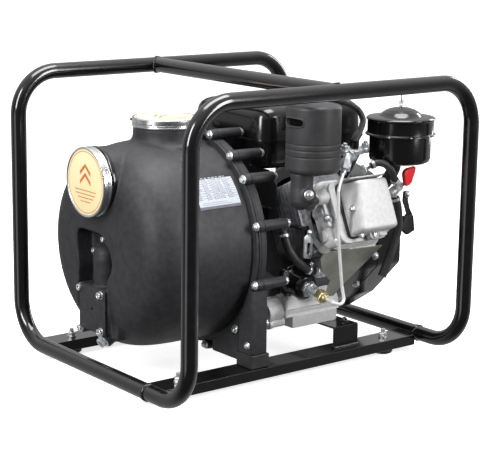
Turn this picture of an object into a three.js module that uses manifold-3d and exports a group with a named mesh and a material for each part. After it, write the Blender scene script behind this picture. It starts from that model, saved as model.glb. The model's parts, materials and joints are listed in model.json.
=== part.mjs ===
// A trash pump set: a self-priming plastic-bodied pump and a small air-cooled diesel
// engine on two channels in a bent tube frame.
// Millimetres. +X runs from the suction port to the flywheel, -Y is the cylinder head
// side, +Z is up. The origin is on the ground under the middle of the frame. Pieces are
// laid out from the centre line of the frame's bottom tubes, and the whole set is lifted
// by RAIL_HEIGHT at the end.
import * as THREE from 'three';
import { mergeVertices } from 'three/addons/utils/BufferGeometryUtils.js';
import Module from 'manifold-3d';

const wasm = await Module();
wasm.setup();

// ---------------------------------------------------------------- driving dimensions
const GAP = 0.3; // between neighbouring pieces
const RAIL_HEIGHT = 30; // ground to the bottom tubes' centre line

const TUBE_R = 14.3; // frame tube radius
const HALF_LENGTH = 316.5; // frame centre lines, along X
const HALF_WIDTH = 268.75; // frame centre lines, along Y
const FRAME_TOP = 500; // bottom to top centre line
const BEND_R = 78;
const SPLICE_Y = -150; // where the two hoops meet on the end tubes
const CROSS_TUBE_X = -9;

const UNIT_Y = 40; // the pump and engine stand off the frame's middle
const CHANNEL_OUTER = 200; // channel edges, measured from UNIT_Y
const CHANNEL_INNER = 148;
const CHANNEL_DEPTH = 20;
const CHANNEL_WALL = 3;
const FOOT_X = 241;
const FOOT_OFFSET = (CHANNEL_OUTER + CHANNEL_INNER) / 2;

const CASING_Z = 209; // pump body axis
const CASING_R = 187;
const CASING_FRONT = -296;
const CASING_POWER = 5.65; // superellipse exponent of the domed end
const CASING_WALL = 7;
const SEAM_X = -79;
const FLANGE_R = 197;
const BOLT_CIRCLE_R = 203;
const BOSS_R = 10;
const BOSS_FRONT = -90;
const BOSS_BACK = -26;
// boss angles above the horizontal, repeated on both sides
const BOSS_ANGLES = [73, 54, 39, 14.2, -15.9, -46.1, -75.6];

const PORT_R = 60; // neck outside
const PORT_BORE = 50;
const PORT_RIM_R = 62;
const SUCTION_Z = 331;
const SUCTION_FACE = -318;
const DISCHARGE_X = -145;
const DISCHARGE_TOP = 434;
const PORT_RING = 18; // neck end to the outside of the cap
const FLAP_FRONT = -221;

// the flat-bottomed recess in the pump's front, and what stands in it
const RECESS = { y: [-4, 101], z: [59, 236], floor: -262 };
const COLUMN = { x: -271, y: 44, r: 22, top: 194 };
const PLATE = { y: [3, 87], z: [59, 140], x: [-302, -298] };
const DRAIN_DIRECTION = new THREE.Vector3(-0.86, 0, -0.51);
const DRAIN_SEAT = [-292, 22, 46];

const VOLUTE = { x: [-134, -79.3], start: 92, growth: 34, chamber: 85, eye: 34 };
const IMPELLER_BACK = -86;
const IMPELLER_FRONT = -116;
const VANES = 4;
const HUB_R = 116; // the adapter's face against the engine
const LEG_X = [-97, -62];

const CRANK_Z = 170;
const CRANK_WEB_R = 40;
const CRANK_WEB_X = [62, 112];
const CRANK_WEB_WIDTH = 12;
const CRANKCASE_X = [-15, 168];
const BASE_BOTTOM = 64; // where the engine's feet join the crankcase
const BRACKET_X = [112, 173];
const BRACKET_TOP = 40;
const BRACKET_WALL = 4;
const BRACKET_NEAR = -138;
const BLOWER_R = 148;
const BLOWER_X = [176, 292];
const BLOWER_WALL = 3;
const FAN_INLET_R = 104;
const FLYWHEEL_R = 112;
const FAN_BLADES = 6;

const CYLINDER_TILT = 24.4; // degrees above the horizontal
const CYLINDER_X = 95;
const BORE_R = 40;
const PISTON_R = 38.4;
const STROKE_HALF = 25;
const DECK = 190; // crank axis to the top of the cylinder
const HEAD_TOP = 240;
const COVER_BASE = 244;
const COVER_TOP = 279;
const FINS = { count: 7, first: 124, pitch: 9.4, thickness: 3 };
const SHROUD = { x: [22, 25], y: [-70, 150], z: [264, 333] };

const EXHAUST_PORT = { x: 29.4, across: 33, out: 226 };
const MUFFLER = { x: 26, y: -166, r: 49, z0: 347, z1: 466 };
const ELBOW = { x: 2, r: 22, z: 304 };
const CLEANER = { x: 232, y: -172, bowl: 56.7, lid: 61, lip: 65 };
const TANK = { x: [-5, 246], y: [-66, 148], z: [335, 450] };
const TANK_SEAM = 388;
const FILLER = { x: 130, r: 24 };

const INJECTION_AXIS = new THREE.Vector3(0.01, -0.985, -0.172);
const INJECTION_SEAT = [45, -89, 133];
const INJECTION_LENGTH = 79;
const INJECTOR_X = 124;

// centre lines of the hoses and pipes
const ROUTES = {
  injectionPipe: [
    [46.2, -188, 115.5], [47, -212, 111], [69, -213, 108], [66, -207, 140], [58, -203, 230],
    [57, -201, 316], [84, -184, 343],
  ],
  returnHose: [
    [125, -166.6, 397], [134, -167, 407], [144, -165, 430], [133, -158, 451], [106, -146, 463],
    [78, -118, 460], [62, -96, 436], [54, -84, 419], [51, -79, 410],
  ],
  feedHose: [
    [-2, -122, 234], [-2, -132, 214], [3, -139, 196], [17, -143, 179], [36, -146, 165],
    [47, -148, 159.5],
  ],
  tapHose: [
    [214, -182, 283], [219, -183, 270], [224, -182, 250], [226, -181, 228], [222, -180, 205],
    [211, -179, 178], [202, -177, 152], [194, -175, 134],
  ],
  breatherHose: [
    [148, -184, 347], [158, -191, 353], [172, -198, 350], [186, -200, 336], [197, -196, 323],
    [205, -190, 313],
  ],
  intakePipe: [
    [232, -160, 342.5], [232, -157, 330], [230, -145, 310], [218, -139, 295], [200, -141, 290],
    [183, -143, 290],
  ],
};
const PIPE_R = 3;
const RETURN_R = 5.5;
const FUEL_HOSE_R = 8;
const BREATHER_R = 6.5;
const INTAKE_R = 12;

// where the small levers turn
const TAP_PIVOT = [233, -192, 311];
const STOP_PIVOT = [26, -157, 211];
const THROTTLE_PIVOT = [262, -162, 280];

// ---------------------------------------------------------------- finishes
const FINISHES = {
  black_paint: [0x1c1d1f, 0.35, 0.2],
  black_plastic: [0x2a2b2d, 0.75, 0],
  matt_black: [0x333336, 0.7, 0.1],
  gloss_black: [0x101113, 0.15, 0.1],
  aluminium: [0xb9bbbd, 0.45, 0.8],
  cast_fins: [0x55585c, 0.55, 0.6],
  zinc: [0xc8ccd0, 0.3, 0.9],
  steel: [0xd8dadc, 0.2, 1],
  olive_zinc: [0x6b6a58, 0.4, 0.7],
  brass: [0xc9b169, 0.3, 0.9],
  rubber: [0x3a3b3d, 0.8, 0],
  iron: [0x4a4b4d, 0.7, 0.5],
  red: [0xe8232a, 0.4, 0],
};

const X_AXIS = new THREE.Vector3(1, 0, 0);
const Y_AXIS = new THREE.Vector3(0, 1, 0);
const Z_AXIS = new THREE.Vector3(0, 0, 1);

// ---------------------------------------------------------------- geometry helpers
function signedVolume(position, index) {
  const a = new THREE.Vector3();
  const b = new THREE.Vector3();
  const c = new THREE.Vector3();
  let total = 0;
  for (let i = 0; i < index.length; i += 3) {
    a.fromBufferAttribute(position, index[i]);
    b.fromBufferAttribute(position, index[i + 1]);
    c.fromBufferAttribute(position, index[i + 2]);
    total += a.dot(b.cross(c));
  }
  return total;
}

// Merges a geometry's vertices, drops its collapsed triangles and turns its faces out.
function closed(geometry) {
  const bare = geometry.clone();
  bare.deleteAttribute('normal');
  bare.deleteAttribute('uv');
  const merged = mergeVertices(bare, 1e-3);
  const source = merged.getIndex().array;
  const index = [];
  for (let i = 0; i < source.length; i += 3) {
    const [a, b, c] = source.slice(i, i + 3);
    if (a !== b && b !== c && c !== a) index.push(a, b, c);
  }
  if (signedVolume(merged.attributes.position, index) < 0) index.reverse();
  merged.setIndex(index);
  return merged;
}

function toSolid(geometry) {
  const shape = closed(geometry);
  return new wasm.Manifold(new wasm.Mesh({
    numProp: 3,
    vertProperties: Float32Array.from(shape.attributes.position.array),
    triVerts: Uint32Array.from(shape.getIndex().array),
  }));
}

function toGeometry(solid) {
  const mesh = solid.getMesh();
  const geometry = new THREE.BufferGeometry();
  geometry.setAttribute('position', new THREE.BufferAttribute(mesh.vertProperties, 3));
  geometry.setIndex(Array.from(mesh.triVerts));
  return geometry;
}

function join(...parts) {
  return toGeometry(parts.map(toSolid).reduce((sum, part) => sum.add(part)));
}

function cut(body, ...tools) {
  return toGeometry(tools.map(toSolid).reduce((rest, tool) => rest.subtract(tool), toSolid(body)));
}

function vec(point) {
  return new THREE.Vector3(...point);
}

function box([x0, x1], [y0, y1], [z0, z1]) {
  const geometry = new THREE.BoxGeometry(x1 - x0, y1 - y0, z1 - z0);
  return geometry.translate((x0 + x1) / 2, (y0 + y1) / 2, (z0 + z1) / 2);
}

// A profile of [radius, height] pairs turned about a line through `from`.
function turned(profile, sides, from, direction) {
  const points = profile.map(([radius, height]) => new THREE.Vector2(radius, height));
  const geometry = new THREE.LatheGeometry(points, sides);
  const turn = new THREE.Quaternion().setFromUnitVectors(Y_AXIS, direction.clone().normalize());
  return geometry.applyQuaternion(turn).translate(...from);
}

function rod(from, to, radius, sides = 12) {
  const line = vec(to).sub(vec(from));
  const length = line.length();
  return turned([[0, 0], [radius, 0], [radius, length], [0, length]], sides, from, line);
}

function ring(from, to, inner, outer, sides = 24) {
  const line = vec(to).sub(vec(from));
  const length = line.length();
  const profile = [[inner, 0], [outer, 0], [outer, length], [inner, length], [inner, 0]];
  return turned(profile, sides, from, line);
}

function outline(points) {
  return new THREE.Shape(points.map(([x, y]) => new THREE.Vector2(x, y)));
}

function extruded(shape, depth) {
  return new THREE.ExtrudeGeometry(shape, { depth, bevelEnabled: false, curveSegments: 2 });
}

// A (y, z) outline extruded along X.
function alongX(shape, x0, x1) {
  const basis = new THREE.Matrix4().makeBasis(Y_AXIS, Z_AXIS, X_AXIS);
  return extruded(shape, x1 - x0).applyMatrix4(basis).translate(x0, 0, 0);
}

// An (x, z) outline extruded along Y.
function alongY(shape, y0, y1) {
  const basis = new THREE.Matrix4().makeBasis(X_AXIS, Z_AXIS, Y_AXIS.clone().negate());
  return extruded(shape, y1 - y0).applyMatrix4(basis).translate(0, y1, 0);
}

function alongZ(shape, z0, z1) {
  return extruded(shape, z1 - z0).translate(0, 0, z0);
}

function roundedRect(x0, x1, y0, y1, radius) {
  const shape = new THREE.Shape();
  shape.moveTo(x0 + radius, y0);
  shape.lineTo(x1 - radius, y0);
  shape.absarc(x1 - radius, y0 + radius, radius, -Math.PI / 2, 0);
  shape.absarc(x1 - radius, y1 - radius, radius, 0, Math.PI / 2);
  shape.absarc(x0 + radius, y1 - radius, radius, Math.PI / 2, Math.PI);
  shape.absarc(x0 + radius, y0 + radius, radius, Math.PI, 1.5 * Math.PI);
  return shape;
}

function polygon(radius, sides) {
  const corners = [];
  for (let i = 0; i < sides; i += 1) {
    const angle = (2 * Math.PI * i) / sides;
    corners.push([radius * Math.cos(angle), radius * Math.sin(angle)]);
  }
  return outline(corners);
}

// The centre line of a bent tube: straight runs joined by arcs of one bend radius.
class BentLine extends THREE.Curve {
  constructor(corners, bend, arcSteps) {
    super();
    const points = corners.map(vec);
    const first = points[1].clone().sub(points[0]).normalize();
    this.stations = [{ point: points[0], tangent: first }];
    for (let i = 1; i < points.length - 1; i += 1) {
      this.addBend(points[i - 1], points[i], points[i + 1], bend, arcSteps);
    }
    const end = points[points.length - 1];
    const last = end.clone().sub(points[points.length - 2]).normalize();
    this.stations.push({ point: end, tangent: last });
  }

  addBend(before, corner, after, bend, arcSteps) {
    const arriving = corner.clone().sub(before).normalize();
    const leaving = after.clone().sub(corner).normalize();
    const angle = arriving.angleTo(leaving);
    const start = corner.clone().addScaledVector(arriving, -bend * Math.tan(angle / 2));
    const axis = arriving.clone().cross(leaving).normalize();
    const inward = axis.clone().cross(arriving);
    for (let step = 0; step <= arcSteps; step += 1) {
      const turn = (angle * step) / arcSteps;
      const point = start.clone()
        .addScaledVector(arriving, bend * Math.sin(turn))
        .addScaledVector(inward, bend * (1 - Math.cos(turn)));
      this.stations.push({ point, tangent: arriving.clone().applyAxisAngle(axis, turn) });
    }
  }

  station(u) {
    return this.stations[Math.round(u * (this.stations.length - 1))];
  }

  getPointAt(u) {
    return this.station(u).point.clone();
  }

  getTangentAt(u) {
    return this.station(u).tangent.clone();
  }
}

function bentTube(corners, radius, bend, sides = 12, arcSteps = 4) {
  const extrudePath = new BentLine(corners, bend, arcSteps);
  const steps = extrudePath.stations.length - 1;
  return new THREE.ExtrudeGeometry(polygon(radius, sides), { steps, extrudePath });
}

function hose(points, radius, steps, sides = 6) {
  const extrudePath = new THREE.CatmullRomCurve3(points.map(vec));
  return new THREE.ExtrudeGeometry(polygon(radius, sides), { steps, extrudePath });
}

// Cylinder frame: x stays, y is across the cylinder, z runs from the crank to the head.
const tilt = THREE.MathUtils.degToRad(CYLINDER_TILT);
const across = new THREE.Vector3(0, Math.sin(tilt), Math.cos(tilt));
const outward = new THREE.Vector3(0, -Math.cos(tilt), Math.sin(tilt));
const cylinderFrame = new THREE.Matrix4()
  .makeBasis(X_AXIS, across, outward)
  .setPosition(0, UNIT_Y, CRANK_Z);

function tilted(geometry) {
  return geometry.applyMatrix4(cylinderFrame);
}

function mirrored(y) {
  return 2 * UNIT_Y - y;
}

const pump = new THREE.Group();
pump.position.z = RAIL_HEIGHT;

function add(name, finish, geometry) {
  const [color, roughness, metalness] = FINISHES[finish];
  const material = new THREE.MeshStandardMaterial({ color, roughness, metalness });
  const mesh = new THREE.Mesh(closed(geometry), material);
  mesh.name = name;
  pump.add(mesh);
}

// ---------------------------------------------------------------- frame
function hoop(side) {
  const wall = side * HALF_WIDTH;
  const splice = SPLICE_Y + (side * GAP) / 2;
  return bentTube([
    [-HALF_LENGTH, splice, 0],
    [-HALF_LENGTH, wall, 0],
    [-HALF_LENGTH, wall, FRAME_TOP],
    [HALF_LENGTH, wall, FRAME_TOP],
    [HALF_LENGTH, wall, 0],
    [HALF_LENGTH, splice, 0],
  ], TUBE_R, BEND_R);
}

function crossTube() {
  const reach = 30;
  const cope = side => rod(
    [CROSS_TUBE_X - reach, side * HALF_WIDTH, FRAME_TOP],
    [CROSS_TUBE_X + reach, side * HALF_WIDTH, FRAME_TOP],
    TUBE_R + GAP,
    16,
  );
  const tube = rod([CROSS_TUBE_X, -HALF_WIDTH, FRAME_TOP], [CROSS_TUBE_X, HALF_WIDTH, FRAME_TOP], TUBE_R);
  return cut(tube, cope(-1), cope(1));
}

function channel(side) {
  const end = HALF_LENGTH - TUBE_R - GAP;
  const outer = UNIT_Y + side * CHANNEL_OUTER;
  const inner = UNIT_Y + side * CHANNEL_INNER;
  const wall = side * CHANNEL_WALL;
  const section = outline([
    [outer, 0],
    [outer, -CHANNEL_DEPTH],
    [outer - wall, -CHANNEL_DEPTH],
    [outer - wall, -CHANNEL_WALL],
    [inner + wall, -CHANNEL_WALL],
    [inner + wall, -CHANNEL_DEPTH],
    [inner, -CHANNEL_DEPTH],
    [inner, 0],
  ]);
  return alongX(section, -end, end);
}

// A round rubber foot with a ring groove, set into the channel.
function foot(x, y) {
  const top = -CHANNEL_WALL - GAP;
  const bottom = -RAIL_HEIGHT;
  const profile = [[0, bottom], [17, bottom], [19, bottom + 4], [19, -8], [12, top], [0, top]];
  return turned(profile, 10, [x, y, 0], Z_AXIS);
}

// A folded plate spanning the channels, with the engine's base on its top.
function engineBracket() {
  const near = BRACKET_NEAR;
  const far = mirrored(near);
  const wall = BRACKET_WALL;
  const shape = outline([
    [near, GAP],
    [near, BRACKET_TOP],
    [far, BRACKET_TOP],
    [far, GAP],
    [far - wall, GAP],
    [far - wall, BRACKET_TOP - wall],
    [near + wall, BRACKET_TOP - wall],
    [near + wall, GAP],
  ]);
  return alongX(shape, ...BRACKET_X);
}

function legBlock(side) {
  const span = [UNIT_Y + side * 197, UNIT_Y + side * 152].sort((a, b) => a - b);
  return box([-98, -58], span, [GAP, 25.7]);
}

// ---------------------------------------------------------------- pump body
// The domed body's outline, shrunk by `inset` for the inside of the wall.
function domeProfile(inset, steps) {
  const radius = CASING_R - inset;
  const depth = SEAM_X - (CASING_FRONT + inset);
  const points = [];
  for (let i = 0; i <= steps; i += 1) {
    const angle = (Math.PI / 2) * (1 - i / steps);
    const along = Math.sin(angle) ** (2 / CASING_POWER);
    const out = Math.cos(angle) ** (2 / CASING_POWER);
    points.push([i === 0 ? 0 : radius * out, SEAM_X - depth * along]);
  }
  return points;
}

function bossCentres() {
  const centres = [];
  for (const side of [-1, 1]) {
    for (const degrees of BOSS_ANGLES) {
      const angle = THREE.MathUtils.degToRad(degrees);
      centres.push([
        UNIT_Y + side * BOLT_CIRCLE_R * Math.cos(angle),
        CASING_Z + BOLT_CIRCLE_R * Math.sin(angle),
      ]);
    }
  }
  return centres;
}

// The round bosses of the bolt circle, which stand half out of the flange's edge.
function bosses(x0, x1, sides = 8) {
  const pieces = [];
  for (const [y, z] of bossCentres()) {
    pieces.push(rod([x0, y, z], [x1, y, z], BOSS_R, sides));
  }
  return pieces;
}

function casing() {
  const steps = 7;
  const rim = SEAM_X - GAP / 2;
  const outer = domeProfile(0, steps).slice(0, -1);
  const inner = domeProfile(CASING_WALL, steps).slice(0, -1).reverse();
  const profile = [
    ...outer,
    [CASING_R, BOSS_FRONT],
    [FLANGE_R, BOSS_FRONT],
    [FLANGE_R, rim],
    [CASING_R - CASING_WALL, rim],
    ...inner,
  ];
  const shell = turned(profile, 32, [0, UNIT_Y, CASING_Z], X_AXIS);
  const liner = box(
    [CASING_FRONT + CASING_WALL, RECESS.floor + CASING_WALL],
    [RECESS.y[0] - CASING_WALL, RECESS.y[1] + CASING_WALL],
    [RECESS.z[0] - CASING_WALL, RECESS.z[1] + CASING_WALL],
  );
  const up = z => [DISCHARGE_X, UNIT_Y, z];
  const back = x => [x, UNIT_Y, SUCTION_Z];
  const dischargeNeck = rod(up(372), up(DISCHARGE_TOP - PORT_RING), PORT_R, 20);
  const suctionNeck = rod(back(FLAP_FRONT - GAP), back(SUCTION_FACE + PORT_RING), PORT_R, 20);
  const dischargeBore = rod(up(340), up(DISCHARGE_TOP + 6), PORT_BORE, 20);
  const suctionBore = rod(back(-212), back(SUCTION_FACE - 12), PORT_BORE, 20);
  const recess = box([CASING_FRONT - 24, RECESS.floor], RECESS.y, RECESS.z);
  const plateSeat = box([PLATE.x[1] + GAP, RECESS.floor - 1], PLATE.y, PLATE.z);
  const columnTop = [COLUMN.x, COLUMN.y, COLUMN.top];
  const column = join(
    rod([COLUMN.x, COLUMN.y, PLATE.z[1] - 8], columnTop, COLUMN.r, 12),
    new THREE.SphereGeometry(COLUMN.r, 12, 6).rotateX(Math.PI / 2).translate(...columnTop),
  );
  const drainStart = vec(DRAIN_SEAT).addScaledVector(DRAIN_DIRECTION, -40).toArray();
  const plateRoom = box(
    [CASING_FRONT - 34, PLATE.x[1] + GAP],
    PLATE.y,
    [PLATE.z[0] - 1, PLATE.z[1] + 1],
  );
  const drainLug = cut(rod(drainStart, DRAIN_SEAT, 16, 12), plateRoom);
  const body = join(shell, liner, dischargeNeck, suctionNeck, ...bosses(BOSS_FRONT, rim));
  return join(cut(body, dischargeBore, suctionBore, recess), plateSeat, column, drainLug);
}

// The rear cover of the pump: wall, hub towards the engine, bolt bosses and two legs.
function adapter() {
  const face = SEAM_X + GAP / 2;
  const centre = [0, UNIT_Y, CASING_Z];
  const disc = turned([[0, face], [FLANGE_R, face], [FLANGE_R, -66], [0, -58]], 32, centre, X_AXIS);
  const hubEnd = CRANKCASE_X[0] - GAP;
  const hub = turned(
    [[0, -70], [130, -70], [HUB_R, hubEnd], [0, hubEnd]],
    20,
    [0, UNIT_Y, CRANK_Z],
    X_AXIS,
  );
  const flangeClearance = rod([-110, UNIT_Y, CASING_Z], [face, UNIT_Y, CASING_Z], FLANGE_R + GAP, 32);
  const bossClearance = bossCentres()
    .map(([y, z]) => rod([-110, y, z], [face, y, z], BOSS_R + 1, 12));
  const parts = [disc, hub, ...bosses(face, BOSS_BACK)];
  for (const side of [-1, 1]) {
    const span = [UNIT_Y + side * 195, UNIT_Y + side * 155].sort((a, b) => a - b);
    const webSpan = [UNIT_Y + side * 160, UNIT_Y + side * 70].sort((a, b) => a - b);
    parts.push(cut(box(LEG_X, span, [26, 142]), flangeClearance, ...bossClearance));
    parts.push(box([face, -68], webSpan, [26, 110]));
    const footSpan = [UNIT_Y + side * 151, UNIT_Y + side * 75].sort((a, b) => a - b);
    parts.push(cut(box([-94, -68], footSpan, [8, 110]), flangeClearance, ...bossClearance));
  }
  const shaftBore = rod([-100, UNIT_Y, CRANK_Z], [-50, UNIT_Y, CRANK_Z], 26, 20);
  const pocket = rod([-56, UNIT_Y, CRANK_Z], [-10, UNIT_Y, CRANK_Z], 62, 20);
  return cut(join(...parts), shaftBore, pocket);
}

// A spiral housing round the impeller, open at the back, with an eye in front.
function volute() {
  const [front, face] = VOLUTE.x;
  const points = [];
  const turns = 24;
  for (let i = 0; i <= turns; i += 1) {
    const angle = (2 * Math.PI * i) / turns;
    const radius = VOLUTE.start + (VOLUTE.growth * i) / turns;
    points.push([UNIT_Y + radius * Math.cos(angle), CRANK_Z + radius * Math.sin(angle)]);
  }
  const body = alongX(outline(points), front, face);
  const chamber = rod([front + 8, UNIT_Y, CRANK_Z], [face + 1, UNIT_Y, CRANK_Z], VOLUTE.chamber, 20);
  const eye = rod([front - 1, UNIT_Y, CRANK_Z], [front + 9, UNIT_Y, CRANK_Z], VOLUTE.eye, 20);
  const outlet = box([-122, -92], [UNIT_Y + 60, UNIT_Y + 105], [CRANK_Z, CRANK_Z + 140]);
  return cut(body, chamber, eye, outlet);
}

function impeller() {
  const [front, back] = [IMPELLER_FRONT, IMPELLER_BACK];
  const hub = turned(
    [[15, front], [22, front], [30, -96], [78, -92], [78, back], [15, back], [15, front]],
    18,
    [0, UNIT_Y, CRANK_Z],
    X_AXIS,
  );
  const vanes = [];
  for (let i = 0; i < VANES; i += 1) {
    const turn = (2 * Math.PI * i) / VANES;
    const spine = new THREE.Shape();
    spine.moveTo(22, -3);
    spine.quadraticCurveTo(52, -26, 76, -12);
    spine.lineTo(75, -6);
    spine.quadraticCurveTo(50, -20, 22, 4);
    const vane = alongX(spine, front + 1, back - 2).rotateX(turn).translate(0, UNIT_Y, CRANK_Z);
    vanes.push(vane);
  }
  return join(hub, ...vanes);
}

function portRing(centre, direction) {
  const profile = [
    [PORT_BORE, 0], [PORT_R + 1, 0], [PORT_RIM_R, 2], [PORT_RIM_R, 8], [54, 8], [PORT_BORE, 8],
    [PORT_BORE, 0],
  ];
  return turned(profile, 20, centre, direction);
}

function portCap(centre, direction) {
  // a shallow cup: skirt inside the bore, bright rim outside, dished label face on top
  const profile = [
    [0, 5], [46, 5], [46, -6], [49.4, -6], [49.4, GAP], [PORT_RIM_R, GAP],
    [PORT_RIM_R, 8], [60, 9.7], [57, 9.7], [56, 8.5], [0, 8.5],
  ];
  return turned(profile, 20, centre, direction);
}

// A rubber flap hung behind the suction bore, with a weight disc at its middle.
function checkValveFlap() {
  const front = FLAP_FRONT;
  const at = x => [x, UNIT_Y, SUCTION_Z];
  const face = rod(at(front), at(front + 5), PORT_BORE + 2, 20);
  const tab = box([front, front + 5], [UNIT_Y - 12, UNIT_Y + 12], [SUCTION_Z + 40, SUCTION_Z + 51]);
  const weight = rod(at(front + 4), at(front + 13), 30, 16);
  return join(face, tab, weight);
}

function frontPlate() {
  const plate = alongX(roundedRect(...PLATE.y, ...PLATE.z, 5), ...PLATE.x);
  const bleed = rod([-310, 45, 100], [-290, 45, 100], 2.5, 10);
  return cut(plate, bleed);
}

function drainPlug() {
  const seat = vec(DRAIN_SEAT).addScaledVector(DRAIN_DIRECTION, GAP).toArray();
  return turned([[0, 0], [12, 0], [12, 3], [9, 3], [9, 11], [0, 11]], 6, seat, DRAIN_DIRECTION);
}

// ---------------------------------------------------------------- engine
function crankcase() {
  const shell = alongX(outline([
    [-72, BASE_BOTTOM], [140, BASE_BOTTOM], [146, 90], [146, 215], [110, 245], [20, 262],
    [-15.3, 254.5], [-59.8, 156.4], [-78, 118], [-78, 100],
  ]), ...CRANKCASE_X);
  const skirt = alongX(outline([[-96, 62], [150, 62], [146, 92], [-80, 105], [-92, 84]]), 20, 160);
  const base = box([45, 152], [-95, 150], [BRACKET_TOP + GAP, BASE_BOTTOM]);
  const endFlange = rod([-4, -78, 74], [20, -78, 74], 24, 14);
  const boltLug = rod([-4, -92, 56], [24, -92, 56], 9, 10);
  const crankRoom = rod([-5, UNIT_Y, CRANK_Z], [158, UNIT_Y, CRANK_Z], 62, 20);
  const frontBore = rod([-20, UNIT_Y, CRANK_Z], [0, UNIT_Y, CRANK_Z], 24, 20);
  const rearBore = rod([150, UNIT_Y, CRANK_Z], [175, UNIT_Y, CRANK_Z], 24, 20);
  const spigot = tilted(rod([CYLINDER_X, 0, 20], [CYLINDER_X, 0, 100], 46, 16));
  return cut(join(shell, skirt, base, endFlange, boltLug), crankRoom, frontBore, rearBore, spigot);
}

function crankshaft() {
  const shaft = turned([
    [0, -124], [14, -124], [14, -60], [22, -54], [22, 172], [16.5, 180], [16.5, 236], [0, 236],
  ], 12, [0, UNIT_Y, CRANK_Z], X_AXIS);
  const room = box([74, 112], [-30, 110], [100, 240]);
  const centre = x => [x, UNIT_Y, CRANK_Z];
  const webs = CRANK_WEB_X.map(x => rod(centre(x), centre(x + CRANK_WEB_WIDTH), CRANK_WEB_R, 16));
  const pinCentre = vec([0, UNIT_Y, CRANK_Z]).addScaledVector(outward, STROKE_HALF);
  const pin = rod([70, pinCentre.y, pinCentre.z], [116, pinCentre.y, pinCentre.z], 14, 16);
  return join(cut(shaft, room), ...webs, pin);
}

function flywheel() {
  const wheel = turned([
    [17, 186], [FLYWHEEL_R, 186], [FLYWHEEL_R, 214], [60, 208], [34, 214], [34, 228], [19, 228],
    [17, 186],
  ], 24, [0, UNIT_Y, CRANK_Z], X_AXIS);
  const blades = [];
  for (let i = 0; i < FAN_BLADES; i += 1) {
    const blade = box([208, 232], [-2, 2], [66, FLYWHEEL_R - 2]);
    blades.push(blade.rotateX((2 * Math.PI * i) / FAN_BLADES).translate(0, UNIT_Y, CRANK_Z));
  }
  return join(wheel, ...blades);
}

// The blower's outline, round on the far side and flat-sided on the near one.
function blowerOutline(inset) {
  const radius = BLOWER_R - inset;
  const points = [];
  for (let degrees = -100; degrees <= 100; degrees += 20) {
    const angle = THREE.MathUtils.degToRad(degrees);
    points.push([UNIT_Y + radius * Math.cos(angle), CRANK_Z + radius * Math.sin(angle)]);
  }
  const side = -124 + inset;
  const diagonal = 0.7 * inset;
  points.push([-40 + diagonal, 302 - diagonal], [-90 + diagonal, 268 - diagonal], [side, 225]);
  points.push([side, 140 + diagonal / 2], [-53 + diagonal, 67 + diagonal]);
  return outline(points);
}

function blowerHousing() {
  const [front, back] = BLOWER_X;
  const wall = BLOWER_WALL;
  const body = alongX(blowerOutline(0), front, back);
  const inside = alongX(blowerOutline(wall), front + wall, back - wall);
  const backHole = rod([front - 6, UNIT_Y, CRANK_Z], [front + 9, UNIT_Y, CRANK_Z], FLYWHEEL_R + 10, 24);
  const fanHole = rod([back - 12, UNIT_Y, CRANK_Z], [back + 8, UNIT_Y, CRANK_Z], FAN_INLET_R, 24);
  return cut(body, inside, backHole, fanHole);
}

function recoilCover() {
  const seat = BLOWER_X[1] + GAP;
  return turned([
    [0, 306], [92, 303], [100, seat], [112, seat], [108, 298], [98, 306], [0, 309],
  ], 24, [0, UNIT_Y, CRANK_Z], X_AXIS);
}

function cylinder() {
  const core = rod([CYLINDER_X, 0, 60], [CYLINDER_X, 0, DECK - GAP], 54, 16);
  const parts = [core];
  for (let i = 0; i < FINS.count; i += 1) {
    const z = FINS.first + i * FINS.pitch;
    parts.push(alongZ(roundedRect(36, 164, -58, 82, 14), z, z + FINS.thickness));
  }
  const bore = rod([CYLINDER_X, 0, 50], [CYLINDER_X, 0, DECK + 5], BORE_R, 16);
  const spigot = ring([CYLINDER_X, 0, 50], [CYLINDER_X, 0, 87 + GAP], 45.5, 70, 16);
  return tilted(cut(join(...parts), bore, spigot));
}

function piston() {
  const crown = turned([
    [0, -14], [34, -14], [34, -58], [PISTON_R, -58], [PISTON_R, 0], [0, 0],
  ], 16, [CYLINDER_X, 0, DECK - 2 - STROKE_HALF], Z_AXIS);
  return tilted(crown);
}

function connectingRod() {
  const top = DECK - 2 - STROKE_HALF - 14 - GAP;
  const bottom = CRANK_WEB_R + STROKE_HALF + 3;
  const beam = box([CYLINDER_X - 6, CYLINDER_X + 6], [-9, 9], [bottom, top]);
  const foot = box([CYLINDER_X - 12, CYLINDER_X + 12], [-22, 22], [bottom, bottom + 12]);
  return tilted(join(beam, foot));
}

function cylinderHead() {
  const block = alongZ(roundedRect(62, 178, -64, 64, 16), DECK, 222);
  const upper = alongZ(roundedRect(72, 180, -56, 54, 18), 221, HEAD_TOP);
  const end = [EXHAUST_PORT.x + 0.6, EXHAUST_PORT.across, EXHAUST_PORT.out];
  const port = rod([80, EXHAUST_PORT.across, EXHAUST_PORT.out], end, 11, 12);
  const flange = rod([36, EXHAUST_PORT.across, EXHAUST_PORT.out], end, 21, 14);
  return tilted(join(block, upper, port, flange));
}

function rockerCover() {
  const body = alongZ(roundedRect(88, 182, -49, 49, 9), COVER_BASE, COVER_TOP);
  const lug = alongZ(roundedRect(118, 150, -58, -44, 6), COVER_BASE, COVER_BASE + 12);
  return tilted(join(body, lug));
}

function rockerGasket() {
  return tilted(alongZ(roundedRect(85, 184, -52, 52, 12), HEAD_TOP + GAP, COVER_BASE - GAP));
}

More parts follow.
